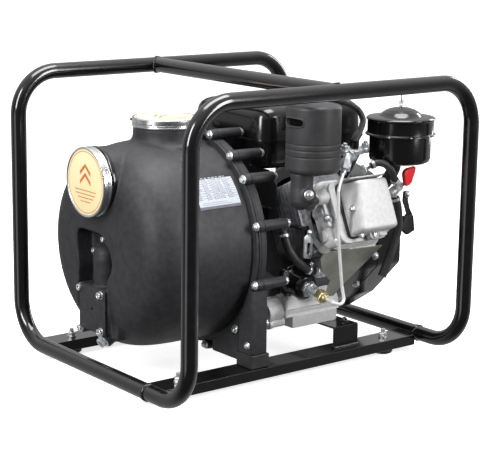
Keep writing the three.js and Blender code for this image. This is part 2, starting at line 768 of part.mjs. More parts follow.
// ---------------------------------------------------------------- exhaust and intake
function exhaustElbow() {
  const { x, r, z } = ELBOW;
  const riser = rod([x, MUFFLER.y, z], [x, MUFFLER.y, MUFFLER.z0 - GAP], r, 16);
  const bowl = new THREE.SphereGeometry(r, 12, 8).rotateX(Math.PI / 2).translate(x, MUFFLER.y, z);
  const end = EXHAUST_PORT.x;
  const seat = vec([end, UNIT_Y, CRANK_Z])
    .addScaledVector(across, EXHAUST_PORT.across)
    .addScaledVector(outward, EXHAUST_PORT.out);
  const branch = rod([x + 3, seat.y, seat.z], [end, seat.y, seat.z], 14, 14);
  const flange = rod([end - 6.4, seat.y, seat.z], [end, seat.y, seat.z], 21, 14);
  return join(riser, bowl, branch, flange);
}

function muffler() {
  const { x, y, r, z0, z1 } = MUFFLER;
  const can = turned([
    [0, z0], [r - 4, z0], [r - 1, z0 + 4], [r, 376], [r - 1.5, 378], [r - 1.5, 386], [r, 388],
    [r, z1 - 4], [r - 3, z1], [22, z1], [18, z1 + 5], [0, z1 + 6],
  ], 18, [x, y, 0], Z_AXIS);
  const slot = box([x - 60, x - 38], [y - 30, y + 6], [432, 444]);
  return cut(can, slot);
}

function cleanerBowl() {
  const r = CLEANER.bowl;
  return turned([
    [0, 346], [50, 346], [r, 354], [r, 396.5], [52, 396.5], [52, 356], [0, 352],
  ], 18, [CLEANER.x, CLEANER.y, 0], Z_AXIS);
}

function cleanerLid() {
  const { lid, lip } = CLEANER;
  return turned([
    [0, 386], [40, 386], [40, 397], [lip, 397], [lip, 400], [lid, 402], [lid, 425], [lid + 2, 427],
    [lid + 1, 430], [40, 431], [34, 439], [20, 446], [0, 448],
  ], 18, [CLEANER.x, CLEANER.y, 0], Z_AXIS);
}

function cleanerWingNut() {
  const hub = rod([CLEANER.x, CLEANER.y, 448.3], [CLEANER.x, CLEANER.y, 459], 5, 10);
  const wings = box([CLEANER.x - 13, CLEANER.x + 13], [CLEANER.y - 1.5, CLEANER.y + 1.5], [453, 466]);
  return join(hub, wings);
}

// ---------------------------------------------------------------- fuel system
function fuelTank() {
  const [x0, x1] = TANK.x;
  const [y0, y1] = TANK.y;
  const [z0, z1] = TANK.z;
  const layer = (grow, radius, low, high) => alongZ(
    roundedRect(x0 - grow, x1 + grow, y0 - grow, y1 + grow, radius),
    low,
    high,
  );
  const lower = layer(0, 26, z0 + 8, TANK_SEAM);
  const keel = layer(-12, 20, z0, z0 + 9);
  const lip = layer(5, 28, TANK_SEAM - 2, TANK_SEAM + 2);
  const upper = layer(0, 26, TANK_SEAM + 1, z1 - 7);
  const crown = layer(-8, 20, z1 - 8, z1);
  const neck = rod([FILLER.x, UNIT_Y, z1 - 1], [FILLER.x, UNIT_Y, z1 + 8], FILLER.r, 20);
  return join(lower, keel, lip, upper, crown, neck);
}

function tankCap() {
  const profile = [[0, 459], [25, 459], [25, 451], [31, 451], [31, 472], [27, 475], [0, 475]];
  return turned(profile, 20, [FILLER.x, UNIT_Y, 0], Z_AXIS);
}

function injectionPump() {
  return turned([
    [0, 0], [32, 0], [32, 8], [26, 10], [25, 42], [19, 48], [14, 50], [14, 66], [10, 68],
    [10, INJECTION_LENGTH], [0, INJECTION_LENGTH],
  ], 16, INJECTION_SEAT, INJECTION_AXIS);
}

function injectionNut() {
  const along = INJECTION_LENGTH + GAP;
  const start = vec(INJECTION_SEAT).addScaledVector(INJECTION_AXIS, along).toArray();
  return turned([[4, 0], [11, 0], [11, 20], [8, 24], [4, 24], [4, 0]], 6, start, INJECTION_AXIS);
}

function injectionPipe() {
  return bentTube(ROUTES.injectionPipe, PIPE_R, 10, 6, 3);
}

// The injector stands on the head; its clamp and fuel unions are one machined body.
function injector() {
  const base = vec([0, UNIT_Y, CRANK_Z]).addScaledVector(across, 70).addScaledVector(outward, 226);
  const foot = [INJECTOR_X, base.y, base.z];
  const body = rod(foot, [INJECTOR_X, -165, 392], 12, 12);
  const lean = vec([0, -0.2, 0.98]);
  const clamp = turned([[0, -4], [24, -4], [24, 5], [0, 5]], 12, [INJECTOR_X, -163, 374], lean);
  const union = rod([122, -166, 366], [86, -183, 344.5], 8.5, 6);
  return join(body, clamp, union);
}

// Banjo union and clamp at the feed hose's lower end.
function feedUnion() {
  return join(
    rod([51.5, -148, 158], [70, -149, 154], 8, 8),
    rod([64, -156, 157], [60, -127, 161], 6.2, 6),
  );
}

function fuelTap() {
  return join(
    rod([203, -184, 292], [230, -178, 302], 8, 12),
    rod([219, -180, 298], [219, -180, 316], 6, 8),
    rod([220, -180, 297], [228, -183, 306], 5, 8),
  );
}

function fuelTapLever() {
  const blade = outline([
    [-6, -6], [6, -7], [13, 0], [17, 13], [18, 26], [7, 28], [-7, 25], [-11, 15], [-8, 4],
  ]);
  return alongY(blade, -4, 4).translate(...TAP_PIVOT);
}

// ---------------------------------------------------------------- sheet metal and levers
function baffle() {
  const sheet = outline([
    [38, 3], [183, -3], [126, -86], [112, -112], [90, -114], [84, -70], [54, -44], [36, -12],
  ]);
  const geometry = extruded(sheet, 2);
  const lean = new THREE.Matrix4().makeRotationX(Math.PI / 2 + 0.5);
  return geometry.applyMatrix4(lean).translate(0, -186, 200);
}

// The upright sheet that turns the blower's air over the cylinder's fins.
function coolingShroud() {
  const [y0, y1] = SHROUD.y;
  const [z0, z1] = SHROUD.z;
  const sheet = outline([[y0, z0], [y1, z0], [y1, z1], [y0 + 24, z1], [y0, z1 - 24]]);
  return alongX(sheet, ...SHROUD.x);
}

function stopLever() {
  const plate = outline([[-9, -22], [9, -26], [12, 6], [3, 24], [-9, 16]]);
  return alongY(plate, -1.5, 1.5).translate(...STOP_PIVOT);
}

function throttleLever() {
  const blade = outline([
    [-7, 7], [7, 7], [4, -10], [10, -28], [18, -41], [23, -71], [4, -78], [-13, -64], [-5, -41],
    [3, -38], [-3, -22], [-8, -12],
  ]);
  return alongY(blade, -2, 2).translate(...THROTTLE_PIVOT);
}

function recoilHandle() {
  const x = BLOWER_X[1] - 10;
  const y = UNIT_Y + BLOWER_R - 2.5;
  return join(
    box([x - 9, x + 9], [y, y + 14], [CRANK_Z + 20, CRANK_Z + 100]),
    rod([x, y - 6, CRANK_Z + 60], [x, y + 2, CRANK_Z + 60], 8, 10),
  );
}

// ---------------------------------------------------------------- assembly
add('near_hoop', 'black_paint', hoop(-1));
add('far_hoop', 'black_paint', hoop(1));
add('top_cross_tube', 'black_paint', crossTube());
add('near_channel', 'black_paint', channel(-1));
add('far_channel', 'black_paint', channel(1));
for (const [end, x] of [['front', -FOOT_X], ['rear', FOOT_X]]) {
  add(`${end}_near_foot`, 'rubber', foot(x, UNIT_Y - FOOT_OFFSET));
  add(`${end}_far_foot`, 'rubber', foot(x, UNIT_Y + FOOT_OFFSET));
}
add('engine_bracket', 'gloss_black', engineBracket());
add('near_leg_block', 'rubber', legBlock(-1));
add('far_leg_block', 'rubber', legBlock(1));

add('pump_casing', 'black_plastic', casing());
add('pump_adapter', 'black_plastic', adapter());
add('volute', 'iron', volute());
add('impeller', 'iron', impeller());
add('wear_plate', 'steel', ring([-125.7, UNIT_Y, CRANK_Z], [-119, UNIT_Y, CRANK_Z], 36, 83, 20));
add('shaft_seal', 'steel', ring([SEAM_X + 1, UNIT_Y, CRANK_Z], [-62, UNIT_Y, CRANK_Z], 14.6, 25.6, 16));
const forward = X_AXIS.clone().negate();
const ringSeat = PORT_RING - GAP;
add('suction_ring', 'steel', portRing([SUCTION_FACE + ringSeat, UNIT_Y, SUCTION_Z], forward));
add('suction_cap', 'steel', portCap([SUCTION_FACE + 9.5, UNIT_Y, SUCTION_Z], forward));
add('discharge_ring', 'steel', portRing([DISCHARGE_X, UNIT_Y, DISCHARGE_TOP - ringSeat], Z_AXIS));
add('discharge_cap', 'steel', portCap([DISCHARGE_X, UNIT_Y, DISCHARGE_TOP - 9.5], Z_AXIS));
add('check_valve_flap', 'rubber', checkValveFlap());
add('front_plate', 'black_plastic', frontPlate());
add('drain_plug', 'zinc', drainPlug());

add('crankcase', 'aluminium', crankcase());
add('crankshaft', 'steel', crankshaft());
add('flywheel', 'iron', flywheel());
add('blower_housing', 'gloss_black', blowerHousing());
add('recoil_cover', 'gloss_black', recoilCover());
add('recoil_handle', 'black_plastic', recoilHandle());
add('cylinder', 'cast_fins', cylinder());
add('piston', 'aluminium', piston());
add('connecting_rod', 'steel', connectingRod());
add('cylinder_head', 'aluminium', cylinderHead());
add('rocker_gasket', 'rubber', rockerGasket());
add('rocker_cover', 'aluminium', rockerCover());
add('exhaust_elbow', 'matt_black', exhaustElbow());
add('muffler', 'matt_black', muffler());
add('air_cleaner_bowl', 'gloss_black', cleanerBowl());
add('air_cleaner_lid', 'gloss_black', cleanerLid());
add('air_cleaner_wing_nut', 'zinc', cleanerWingNut());
add('intake_pipe', 'matt_black', hose(ROUTES.intakePipe, INTAKE_R, 8, 10));
add('fuel_tank', 'gloss_black', fuelTank());
add('tank_cap', 'gloss_black', tankCap());
add('injection_pump', 'gloss_black', injectionPump());
add('injection_nut', 'brass', injectionNut());
add('injection_pipe', 'steel', injectionPipe());
add('injector', 'zinc', injector());
add('return_hose', 'rubber', hose(ROUTES.returnHose, RETURN_R, 18));
add('feed_hose', 'rubber', hose(ROUTES.feedHose, FUEL_HOSE_R, 14, 8));
add('feed_union', 'zinc', feedUnion());
add('fuel_tap', 'zinc', fuelTap());
add('fuel_tap_lever', 'red', fuelTapLever());
add('tap_hose', 'rubber', hose(ROUTES.tapHose, FUEL_HOSE_R, 18, 8));
add('breather_hose', 'rubber', hose(ROUTES.breatherHose, BREATHER_R, 12));
add('baffle', 'olive_zinc', baffle());
add('cooling_shroud', 'black_paint', coolingShroud());
add('stop_lever', 'zinc', stopLever());
add('throttle_lever', 'gloss_black', throttleLever());

export default pump;
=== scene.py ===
# The visual model of an engine-driven trash pump set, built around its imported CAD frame.
# Pieces are laid out in millimetres, as in the CAD source: +X towards the flywheel, -Y the
# cylinder head side, and Z from the centre line of the bottom frame tubes. `piece` turns
# that into metres above the ground.
import json
import math
import random

import bmesh
import bpy
from mathutils import Matrix, Vector


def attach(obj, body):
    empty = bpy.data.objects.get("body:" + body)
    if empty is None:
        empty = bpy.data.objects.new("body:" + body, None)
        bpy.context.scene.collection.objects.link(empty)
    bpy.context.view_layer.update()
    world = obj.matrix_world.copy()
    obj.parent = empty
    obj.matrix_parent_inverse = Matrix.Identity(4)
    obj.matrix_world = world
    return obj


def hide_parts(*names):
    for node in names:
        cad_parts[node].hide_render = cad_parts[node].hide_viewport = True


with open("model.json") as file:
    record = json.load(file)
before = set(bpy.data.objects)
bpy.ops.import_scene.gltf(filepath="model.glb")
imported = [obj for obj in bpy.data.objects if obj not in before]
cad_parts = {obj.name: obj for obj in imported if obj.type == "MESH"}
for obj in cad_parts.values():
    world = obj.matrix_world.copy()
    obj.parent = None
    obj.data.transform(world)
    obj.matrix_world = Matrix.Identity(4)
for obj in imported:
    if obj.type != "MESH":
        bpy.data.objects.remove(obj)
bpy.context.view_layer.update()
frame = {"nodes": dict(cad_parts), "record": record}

MM = 0.001
RAIL_HEIGHT = 30
FINE = 96
PI = math.pi

# ---------------------------------------------------------------- driving dimensions
TUBE_R = 14.3
HALF_LENGTH = 316.5
HALF_WIDTH = 268.75
FRAME_TOP = 500
BEND_R = 78
SPLICE_Y = -150
CROSS_TUBE_X = -9

UNIT_Y = 40
CHANNEL_OUTER = 200
CHANNEL_INNER = 148
FOOT_X = 241
FOOT_OFFSET = (CHANNEL_OUTER + CHANNEL_INNER) / 2

CASING_Z = 209
CASING_R = 187
CASING_FRONT = -296
CASING_POWER = 5.65
CASING_WALL = 7
SEAM_X = -79
SEAM_GAP = 0.3
FLANGE_R = 197
BOLT_CIRCLE_R = 203
BOSS_R = 10
BOSS_FRONT = -90
BOSS_BACK = -26
BOSS_ANGLES = [73, 54, 39, 14.2, -15.9, -46.1, -75.6]

PORT_R = 60
PORT_BORE = 50
PORT_RIM_R = 62
STICKER_R = 57.4
STICKER_Z = (8.0, 8.35)
SUCTION_Z = 331
SUCTION_FACE = -318
DISCHARGE_X = -145
DISCHARGE_TOP = 434

CRANK_Z = 170
CYLINDER_X = 95
TILT = math.radians(24.4)
DECK = 190

# The hollow in the dome's front, whose near side swells round the boss of a bolt, as (y, z).
RECESS_OUTLINE = [
    (102, 60), (101, 140), (98, 170), (103, 205), (99, 235), (60, 238), (24, 237), (17, 226),
    (0, 214), (-8, 196), (-6, 176), (5, 160), (9, 140), (8, 60),
]
RECESS_FLOOR = -262
PLATE_Y = (3, 87)
PLATE_Z = (59, 140)
DRAIN_DIRECTION = Vector((-0.86, 0, -0.51)).normalized()
DRAIN_SEAT = Vector((-292, 22, 46))
LABEL_X = (-189, -102)
LABEL_ANGLES = (27.0, 45.7)

BRACKET_TOP_Z = 40.3
BLOWER_R = 148
FIN_COUNT = 7
FIN_FIRST = 124
FIN_PITCH = 9.4

MUFFLER_X = 26
MUFFLER_Y = -166
MUFFLER_R = 49
MUFFLER_Z = (347, 466)
SLOT_Z = 438
SLOT_TURN = math.radians(182)
CLEANER_X = 232
CLEANER_Y = -172
TANK = (-7, 246, -66, 158)
TANK_CAP_X = 130
INJECTION_AXIS = Vector((0.01, -0.985, -0.172)).normalized()
INJECTION_SEAT = Vector((45, -89, 133))

# The camera, in metres and degrees, stands where the photograph was taken from.
CAMERA_PLACE = (-1.6949, -2.1539, 0.8298)
CAMERA_YAW = -38.19
CAMERA_PITCH = 11.896
CAMERA_ROLL = 0.762
SENSOR = 36.0
CAMERA_LENS = 1506.4 / 484 * SENSOR

# The studio is white above and at the back, dark in front, and has a low bright patch on the
# left, which the long tubes reflect as a line. Each row is a direction, the cosines where its
# light starts and is full, and its strength.
ROOM = (
    ((0, 0, 1), 0.1, 0.9, 0.55), ((0.62, 0.785, 0.0), -0.45, 0.35, 0.42),
    ((-0.975, -0.06, -0.213), 0.95, 0.99, 1.3),
)
ROOM_DARK = 0.07

X = Vector((1, 0, 0))
Y = Vector((0, 1, 0))
Z = Vector((0, 0, 1))
ACROSS = Vector((0, math.sin(TILT), math.cos(TILT)))
OUTWARD = Vector((0, -math.cos(TILT), math.sin(TILT)))


# ---------------------------------------------------------------- materials
# A mix node has sockets for each kind of value: these are the places of its colour ones.
MIX_COLOUR_A, MIX_COLOUR_B, MIX_COLOUR_RESULT = 6, 7, 2


def shader_nodes(name):
    material = bpy.data.materials.new(name)
    material.use_nodes = True
    nodes = material.node_tree.nodes
    return material, nodes, material.node_tree.links, nodes["Principled BSDF"]


def noise_node(nodes, links, scale, detail):
    place = nodes.new("ShaderNodeTexCoord")
    texture = nodes.new("ShaderNodeTexNoise")
    texture.inputs["Scale"].default_value = scale
    texture.inputs["Detail"].default_value = detail
    links.new(place.outputs["Object"], texture.inputs["Vector"])
    return texture.outputs["Fac"]


def spread(nodes, links, source, low, high, clip=(0.3, 0.7)):
    ranged = nodes.new("ShaderNodeMapRange")
    ranged.inputs["From Min"].default_value, ranged.inputs["From Max"].default_value = clip
    ranged.inputs["To Min"].default_value = low
    ranged.inputs["To Max"].default_value = high
    links.new(source, ranged.inputs["Value"])
    return ranged.outputs["Result"]


def surface(
    name, dark, light, roughness, metallic=0.0, mottle=60.0, grain=900.0, depth=0.02,
    smudge=25.0, coat=0.0, specular=0.5, edge_wear_and_highlight=None,
):
    """A finish whose colour, roughness and bump each come from noise of its own scale.
    Its last argument, the edge colour, is mixed in along sharp edges: worn paint on the
    black finish and the olive sheet, a painted highlight on the fin edges."""
    material, nodes, links, shader = shader_nodes(name)
    shader.inputs["Metallic"].default_value = metallic
    shader.inputs["Specular IOR Level"].default_value = specular
    shader.inputs["Coat Weight"].default_value = coat
    shader.inputs["Coat Roughness"].default_value = 0.08
    ramp = nodes.new("ShaderNodeValToRGB")
    ramp.color_ramp.elements[0].position, ramp.color_ramp.elements[1].position = 0.32, 0.68
    ramp.color_ramp.elements[0].color = (*dark, 1)
    ramp.color_ramp.elements[1].color = (*light, 1)
    links.new(noise_node(nodes, links, mottle, 6.0), ramp.inputs["Fac"])
    colour = ramp.outputs["Color"]
    if edge_wear_and_highlight:
        colour = mix_edge_wear_and_highlight(nodes, links, colour, edge_wear_and_highlight)
    links.new(colour, shader.inputs["Base Color"])
    rough = spread(nodes, links, noise_node(nodes, links, smudge, 3.0), *roughness)
    links.new(rough, shader.inputs["Roughness"])
    bump = nodes.new("ShaderNodeBump")
    bump.inputs["Strength"].default_value = 0.6
    bump.inputs["Distance"].default_value = depth * MM
    links.new(noise_node(nodes, links, grain, 3.0), bump.inputs["Height"])
    links.new(bump.outputs["Normal"], shader.inputs["Normal"])
    return material


def mix_edge_wear_and_highlight(nodes, links, colour, edge_wear_and_highlight):
    """Mixes the edge colour in where a rounded normal leaves the true one, broken up by noise: wear on
    some finishes, a painted highlight on the fin edges.
    """
    rounded = nodes.new("ShaderNodeBevel")
    rounded.samples = 4
    rounded.inputs["Radius"].default_value = 0.9 * MM
    geometry = nodes.new("ShaderNodeNewGeometry")
    facing = nodes.new("ShaderNodeVectorMath")
    facing.operation = "DOT_PRODUCT"
    links.new(rounded.outputs["Normal"], facing.inputs[0])
    links.new(geometry.outputs["Normal"], facing.inputs[1])
    edge = spread(nodes, links, facing.outputs["Value"], 1.0, 0.0, (0.8, 0.97))
    patches = spread(nodes, links, noise_node(nodes, links, 70.0, 5.0), 0.0, 1.0, (0.5, 0.62))
    amount = nodes.new("ShaderNodeMath")
    amount.operation = "MULTIPLY"
    links.new(edge, amount.inputs[0])
    links.new(patches, amount.inputs[1])
    mix = nodes.new("ShaderNodeMix")
    mix.data_type = "RGBA"
    links.new(amount.outputs["Value"], mix.inputs["Factor"])
    links.new(colour, mix.inputs[MIX_COLOUR_A])
    mix.inputs[MIX_COLOUR_B].default_value = (*edge_wear_and_highlight, 1)
    return mix.outputs[MIX_COLOUR_RESULT]


def grey(value, blue=1.0):
    return (value, value, value * blue)


BLACK_PAINT = surface(
    "black_powder_coat", grey(0.0045, 1.1), grey(0.0075, 1.1), (0.15, 0.2),
    grain=500, depth=0.006, specular=0.6, coat=0.5, edge_wear_and_highlight=grey(0.035),
)
BLACK_PLASTIC = surface(
    "moulded_black_plastic", grey(0.020, 1.12), grey(0.034, 1.12), (0.48, 0.62),
    mottle=90, grain=700, depth=0.16, specular=0.45,
)
MATT_BLACK = surface(
    "heatproof_matt_paint", grey(0.036, 1.06), grey(0.050, 1.06), (0.42, 0.56),
    mottle=45, grain=900, depth=0.04, specular=0.45,
)
GLOSS_BLACK = surface(
    "gloss_black_enamel", grey(0.005), grey(0.007), (0.16, 0.22),
    mottle=30, grain=300, depth=0.006, coat=0.25, specular=0.55,
)
ALUMINIUM = surface(
    "die_cast_aluminium", (0.60, 0.60, 0.605), (0.69, 0.69, 0.695), (0.56, 0.66),
    metallic=0.35, mottle=140, grain=700, depth=0.1,
)
# The near-white edge colour on the fins is a painted highlight along their edges, not wear.
CAST_FINS = surface(
    "painted_cast_fins", grey(0.20, 1.06), grey(0.38, 1.06), (0.32, 0.46),
    metallic=0.4, mottle=120, grain=700, depth=0.08, edge_wear_and_highlight=grey(0.8),
)
ZINC = surface(
    "bright_zinc", (0.62, 0.65, 0.68), (0.82, 0.84, 0.86), (0.24, 0.4),
    metallic=0.82, mottle=160, grain=500, depth=0.01, smudge=120,
)
STEEL = surface(
    "polished_steel", (0.76, 0.77, 0.78), (0.84, 0.85, 0.86), (0.24, 0.32),
    metallic=1.0, mottle=80, grain=250, depth=0.004,
)
# The injection pipe is bright metal; its near-white diffuse colour is partly its own and partly a
# painted reflection of white surroundings.
BRIGHT_TUBE = surface(
    "bright_metal_painted_reflection", (0.86, 0.86, 0.85), (0.93, 0.93, 0.92), (0.28, 0.38),
    metallic=0.2, mottle=60, grain=400, depth=0.006,
)
SHADOW = surface(
    "unlit_inside", grey(0.002), grey(0.004), (0.8, 0.9),
    mottle=60, grain=300, depth=0.02, specular=0.1,
)
OLIVE_ZINC = surface(
    "olive_coated_sheet", (0.25, 0.25, 0.22), (0.46, 0.46, 0.41), (0.24, 0.36),
    metallic=0.8, mottle=16, grain=400, depth=0.02, edge_wear_and_highlight=(0.6, 0.6, 0.56),
)
BRASS = surface(
    "machined_brass", (0.62, 0.54, 0.27), (0.80, 0.72, 0.42), (0.2, 0.32),
    metallic=0.9, mottle=120, grain=400, depth=0.006,
)
RUBBER = surface(
    "black_rubber", grey(0.022), grey(0.036), (0.42, 0.56),
    mottle=80, grain=1600, depth=0.05, specular=0.45,
)
IRON = surface(
    "cast_iron_skin", grey(0.07), grey(0.13), (0.5, 0.65),
    metallic=0.5, mottle=140, grain=700, depth=0.2,
)
RED = surface(
    "red_moulded_plastic", (0.97, 0.022, 0.028), (1.0, 0.035, 0.042), (0.3, 0.4),
    mottle=60, grain=900, depth=0.03,
)
CREAM = surface(
    "cream_sticker", (0.97, 0.84, 0.47), (1.0, 0.90, 0.57), (0.36, 0.46),
    mottle=12, grain=500, depth=0.01,
)
PEACH = surface(
    "peach_sticker", (0.85, 0.62, 0.45), (0.93, 0.76, 0.60), (0.36, 0.46),
    mottle=14, grain=500, depth=0.01,
)
ORANGE = surface(
    "orange_print", (0.72, 0.14, 0.03), (0.80, 0.20, 0.05), (0.4, 0.5),
    mottle=40, grain=500, depth=0.01,
)
WHITE_LABEL = surface(
    "white_label_film", (0.50, 0.54, 0.60), (0.60, 0.64, 0.69), (0.34, 0.44),
    mottle=20, grain=600, depth=0.01,
)
GREY_PRINT = surface(
    "grey_print", grey(0.10, 1.3), grey(0.16, 1.3), (0.4, 0.5), mottle=200, grain=600, depth=0.01,
)
BLACK_PRINT = surface(
    "black_print", grey(0.008), grey(0.014), (0.35, 0.45), mottle=50, grain=600, depth=0.01,
)

FINISHES = {
    "black_paint": BLACK_PAINT, "black_plastic": BLACK_PLASTIC, "matt_black": MATT_BLACK,
    "gloss_black": GLOSS_BLACK, "aluminium": ALUMINIUM, "cast_fins": CAST_FINS,
    "zinc": ZINC, "steel": STEEL, "olive_zinc": OLIVE_ZINC, "brass": BRASS,
    "rubber": RUBBER, "iron": IRON, "red": RED,
}
NODE_SLOT = {part["node"]: part["material_slot"] for part in frame["record"]["subparts"]}
NODE_BODY = {
    node: body for body, nodes in frame["record"]["behaviour"]["bodies"].items() for node in nodes
}


# ---------------------------------------------------------------- shells
def basis(origin, direction, side=None):
    """A frame at `origin` whose Z runs along `direction`, and X along `side` if given."""
    up = Vector(direction).normalized()
    guide = Vector(side) if side is not None else (X if abs(up.x) < 0.9 else Y)
    right = (guide - up * guide.dot(up)).normalized()
    return Matrix.Translation(origin) @ Matrix((right, up.cross(right), up)).transposed().to_4x4()


CASING_CENTRE = Vector((0, UNIT_Y, CASING_Z))
CRANK_CENTRE = Vector((0, UNIT_Y, CRANK_Z))
HEAD_FRAME = basis(CRANK_CENTRE, OUTWARD, X)
WORLD = Matrix.Identity(4)
ALONG_X = Matrix(((0, 0, 1, 0), (1, 0, 0, 0), (0, 1, 0, 0), (0, 0, 0, 1)))
ALONG_Y = Matrix(((1, 0, 0, 0), (0, 0, -1, 0), (0, 1, 0, 0), (0, 0, 0, 1)))


def in_head(x, across, outward):
    return HEAD_FRAME @ Vector((x, across, outward))


def rounded(corners, radius, steps=6, closed=True):
    """A polyline with each corner turned into an arc, by one radius or a radius for each."""
    corners = [Vector(c) for c in corners]
    count = len(corners)
    radii = radius if isinstance(radius, (list, tuple)) else [radius] * count
    points = []
    for i, corner in enumerate(corners):
        if radii[i] <= 0 or (not closed and i in (0, count - 1)):
            points.append(corner)
            continue
        before, after = corners[i - 1] - corner, corners[(i + 1) % count] - corner
        half = before.angle(after) / 2
        if half > PI / 2 - 0.01:
            points.append(corner)
            continue
        reach = min(radii[i] / math.tan(half), 0.49 * before.length, 0.49 * after.length)
        start = corner + before.normalized() * reach
        end = corner + after.normalized() * reach
        for step in range(steps + 1):
            t = step / steps
            points.append((1 - t) ** 2 * start + 2 * t * (1 - t) * corner + t * t * end)
    return points


def turns(count):
    return [2 * PI * k / count for k in range(count)]


def circle(centre, side, other, radius, count):
    return [centre + radius * (side * math.cos(a) + other * math.sin(a)) for a in turns(count)]


def loft(rings, closed=False, capped=True):
    """Skins a list of equal rings of points; capped with one face at each end."""
    size = len(rings[0])
    verts = [p for r in rings for p in r]
    faces = []
    count = len(rings)
    for i in range(count if closed else count - 1):
        j = (i + 1) % count
        for k in range(size):
            m = (k + 1) % size
            faces.append((i * size + k, i * size + m, j * size + m, j * size + k))
    if capped and not closed:
        faces.append(tuple(reversed(range(size))))
        faces.append(tuple(range((count - 1) * size, count * size)))
    return verts, faces


def lathe(profile, origin, direction, segments=FINE):
    """Turns [radius, height] pairs about a line; a profile that starts and ends off the
    axis is a closed loop."""
    place = basis(origin, direction)
    solid = profile[0][0] < 1e-6
    points = profile[1:-1] if solid else profile
    rings = []
    for radius, height in points:
        rings.append([
            place @ Vector((radius * math.cos(t), radius * math.sin(t), height))
            for t in turns(segments)
        ])
    if not solid:
        return loft(rings, closed=True)
    verts, faces = loft(rings, capped=False)
    last = (len(rings) - 1) * segments
    verts = verts + [place @ Vector((0, 0, profile[0][1])), place @ Vector((0, 0, profile[-1][1]))]
    for k in range(segments):
        m = (k + 1) % segments
        faces.append((m, k, len(verts) - 2))
        faces.append((last + k, last + m, len(verts) - 1))
    return verts, faces


def soft_lathe(profile, origin, direction, edge=0.8, segments=FINE):
    """A lathe whose profile corners are rounded by `edge`."""
    if profile[0][0] < 1e-6:
        return lathe(rounded(profile, edge, 3, closed=False), origin, direction, segments)
    return lathe(rounded(profile, edge, 3), origin, direction, segments)


def rod(start, end, radius, segments=32, edge=0.5, end_radius=None):
    line = Vector(end) - Vector(start)
    tip = radius if end_radius is None else end_radius
    profile = [(0, 0), (radius, 0), (tip, line.length), (0, line.length)]
    return soft_lathe(profile, start, line, edge, segments)


def rod_x(x0, x1, y, z, radius, segments=32, edge=0.5, end_radius=None):
    return rod((x0, y, z), (x1, y, z), radius, segments, edge, end_radius)


def ring_of(start, end, inner, outer, edge=0.4, segments=FINE):
    line = Vector(end) - Vector(start)
    span = line.length
    profile = [(inner, 0), (outer, 0), (outer, span), (inner, span)]
    return soft_lathe(profile, start, line, edge, segments)


def prism(outline, low, high, place=WORLD, edge=0.0, steps=3):
    """Extrudes an outline along the place's Z, its rims drawn in by arcs of `edge`."""
    middle = sum((Vector(p[:2]) for p in outline), Vector((0, 0))) / len(outline)
    half = max((Vector(p[:2]) - middle).length for p in outline)
    rings = []
    levels = [(low, 0.0), (high, 0.0)]
    if edge:
        arc = [PI / 2 * s / steps for s in range(steps + 1)]
        insets = [(edge * (1 - math.sin(t)), edge * (1 - math.cos(t))) for t in arc]
        levels = [(low + rise, inset) for rise, inset in insets]
        levels += [(high - rise, inset) for rise, inset in insets]
        levels.sort()
    for height, inset in levels:
        scale = 1 - inset / half
        ring = []
        for p in outline:
            flat = middle + (Vector(p[:2]) - middle) * scale
            ring.append(place @ Vector((flat.x, flat.y, height)))
        rings.append(ring)
    return loft(rings)


def rectangle(x0, x1, y0, y1, radius, steps=8):
    return rounded([(x0, y0), (x1, y0), (x1, y1), (x0, y1)], radius, steps)


def block(x_span, y_span, z_span, radius=2.0, edge=1.0, place=WORLD):
    return prism(rectangle(*x_span, *y_span, radius, 4), *z_span, place, edge)


def tube(path, radius, sides=24):
    """Sweeps a circle along a path with a frame that doesn't twist, by one radius or a
    radius for each point."""
    path = [Vector(p) for p in path]
    radii = radius if isinstance(radius, (list, tuple)) else [radius] * len(path)
    rings = []
    side = None
    for i, point in enumerate(path):
        ahead = path[min(i + 1, len(path) - 1)] - path[max(i - 1, 0)]
        ahead.normalize()
        if side is None:
            side = ahead.orthogonal().normalized()
        side = (side - ahead * side.dot(ahead)).normalized()
        other = ahead.cross(side)
        rings.append(circle(point, side, other, radii[i], sides))
    return loft(rings)


def closed_tube(path, radius, sides=10):
    rings = []
    count = len(path)
    for i, point in enumerate(path):
        ahead = (Vector(path[(i + 1) % count]) - Vector(path[i - 1])).normalized()
        guide = X if abs(ahead.x) < 0.7 else Z
        side = (guide - ahead * guide.dot(ahead)).normalized()
        rings.append(circle(Vector(point), side, ahead.cross(side), radius, sides))
    return loft(rings, closed=True)


def spline(a, b, c, d, t):
    """A Catmull-Rom curve's point between b and c."""
    bend = (2 * a - 5 * b + 4 * c - d) * t ** 2 + (3 * b - a - 3 * c + d) * t ** 3
    return 0.5 * (2 * b + (c - a) * t + bend)


def smooth_path(points, steps=10):
    """A curve through the points."""
    knots = [Vector(p) for p in points]
    knots = [2 * knots[0] - knots[1]] + knots + [2 * knots[-1] - knots[-2]]
    path = []
    for i in range(1, len(knots) - 2):
        path += [spline(*knots[i - 1:i + 3], step / steps) for step in range(steps)]
    path.append(knots[-2])
    return path


def smooth_outline(points, steps=5):
    """A closed flat curve through the points."""
    knots = [Vector(p) for p in points]
    count = len(knots)
    path = []
    for i in range(count):
        around = [knots[(i + j) % count] for j in (-1, 0, 1, 2)]
        path += [spline(*around, step / steps) for step in range(steps)]
    return path


def bent_path(corners, bend, steps=16):
    """Straight runs joined by true arcs of one bend radius."""
    corners = [Vector(c) for c in corners]
    path = [corners[0]]
    for before, corner, after in zip(corners, corners[1:], corners[2:]):
        arriving = (corner - before).normalized()
        leaving = (after - corner).normalized()
        angle = arriving.angle(leaving)
        start = corner - arriving * bend * math.tan(angle / 2)
        inward = (leaving - arriving * leaving.dot(arriving)).normalized()
        for step in range(steps + 1):
            turn = angle * step / steps
            path.append(start + arriving * bend * math.sin(turn) + inward * bend * (1 - math.cos(turn)))
    path.append(corners[-1])
    return path


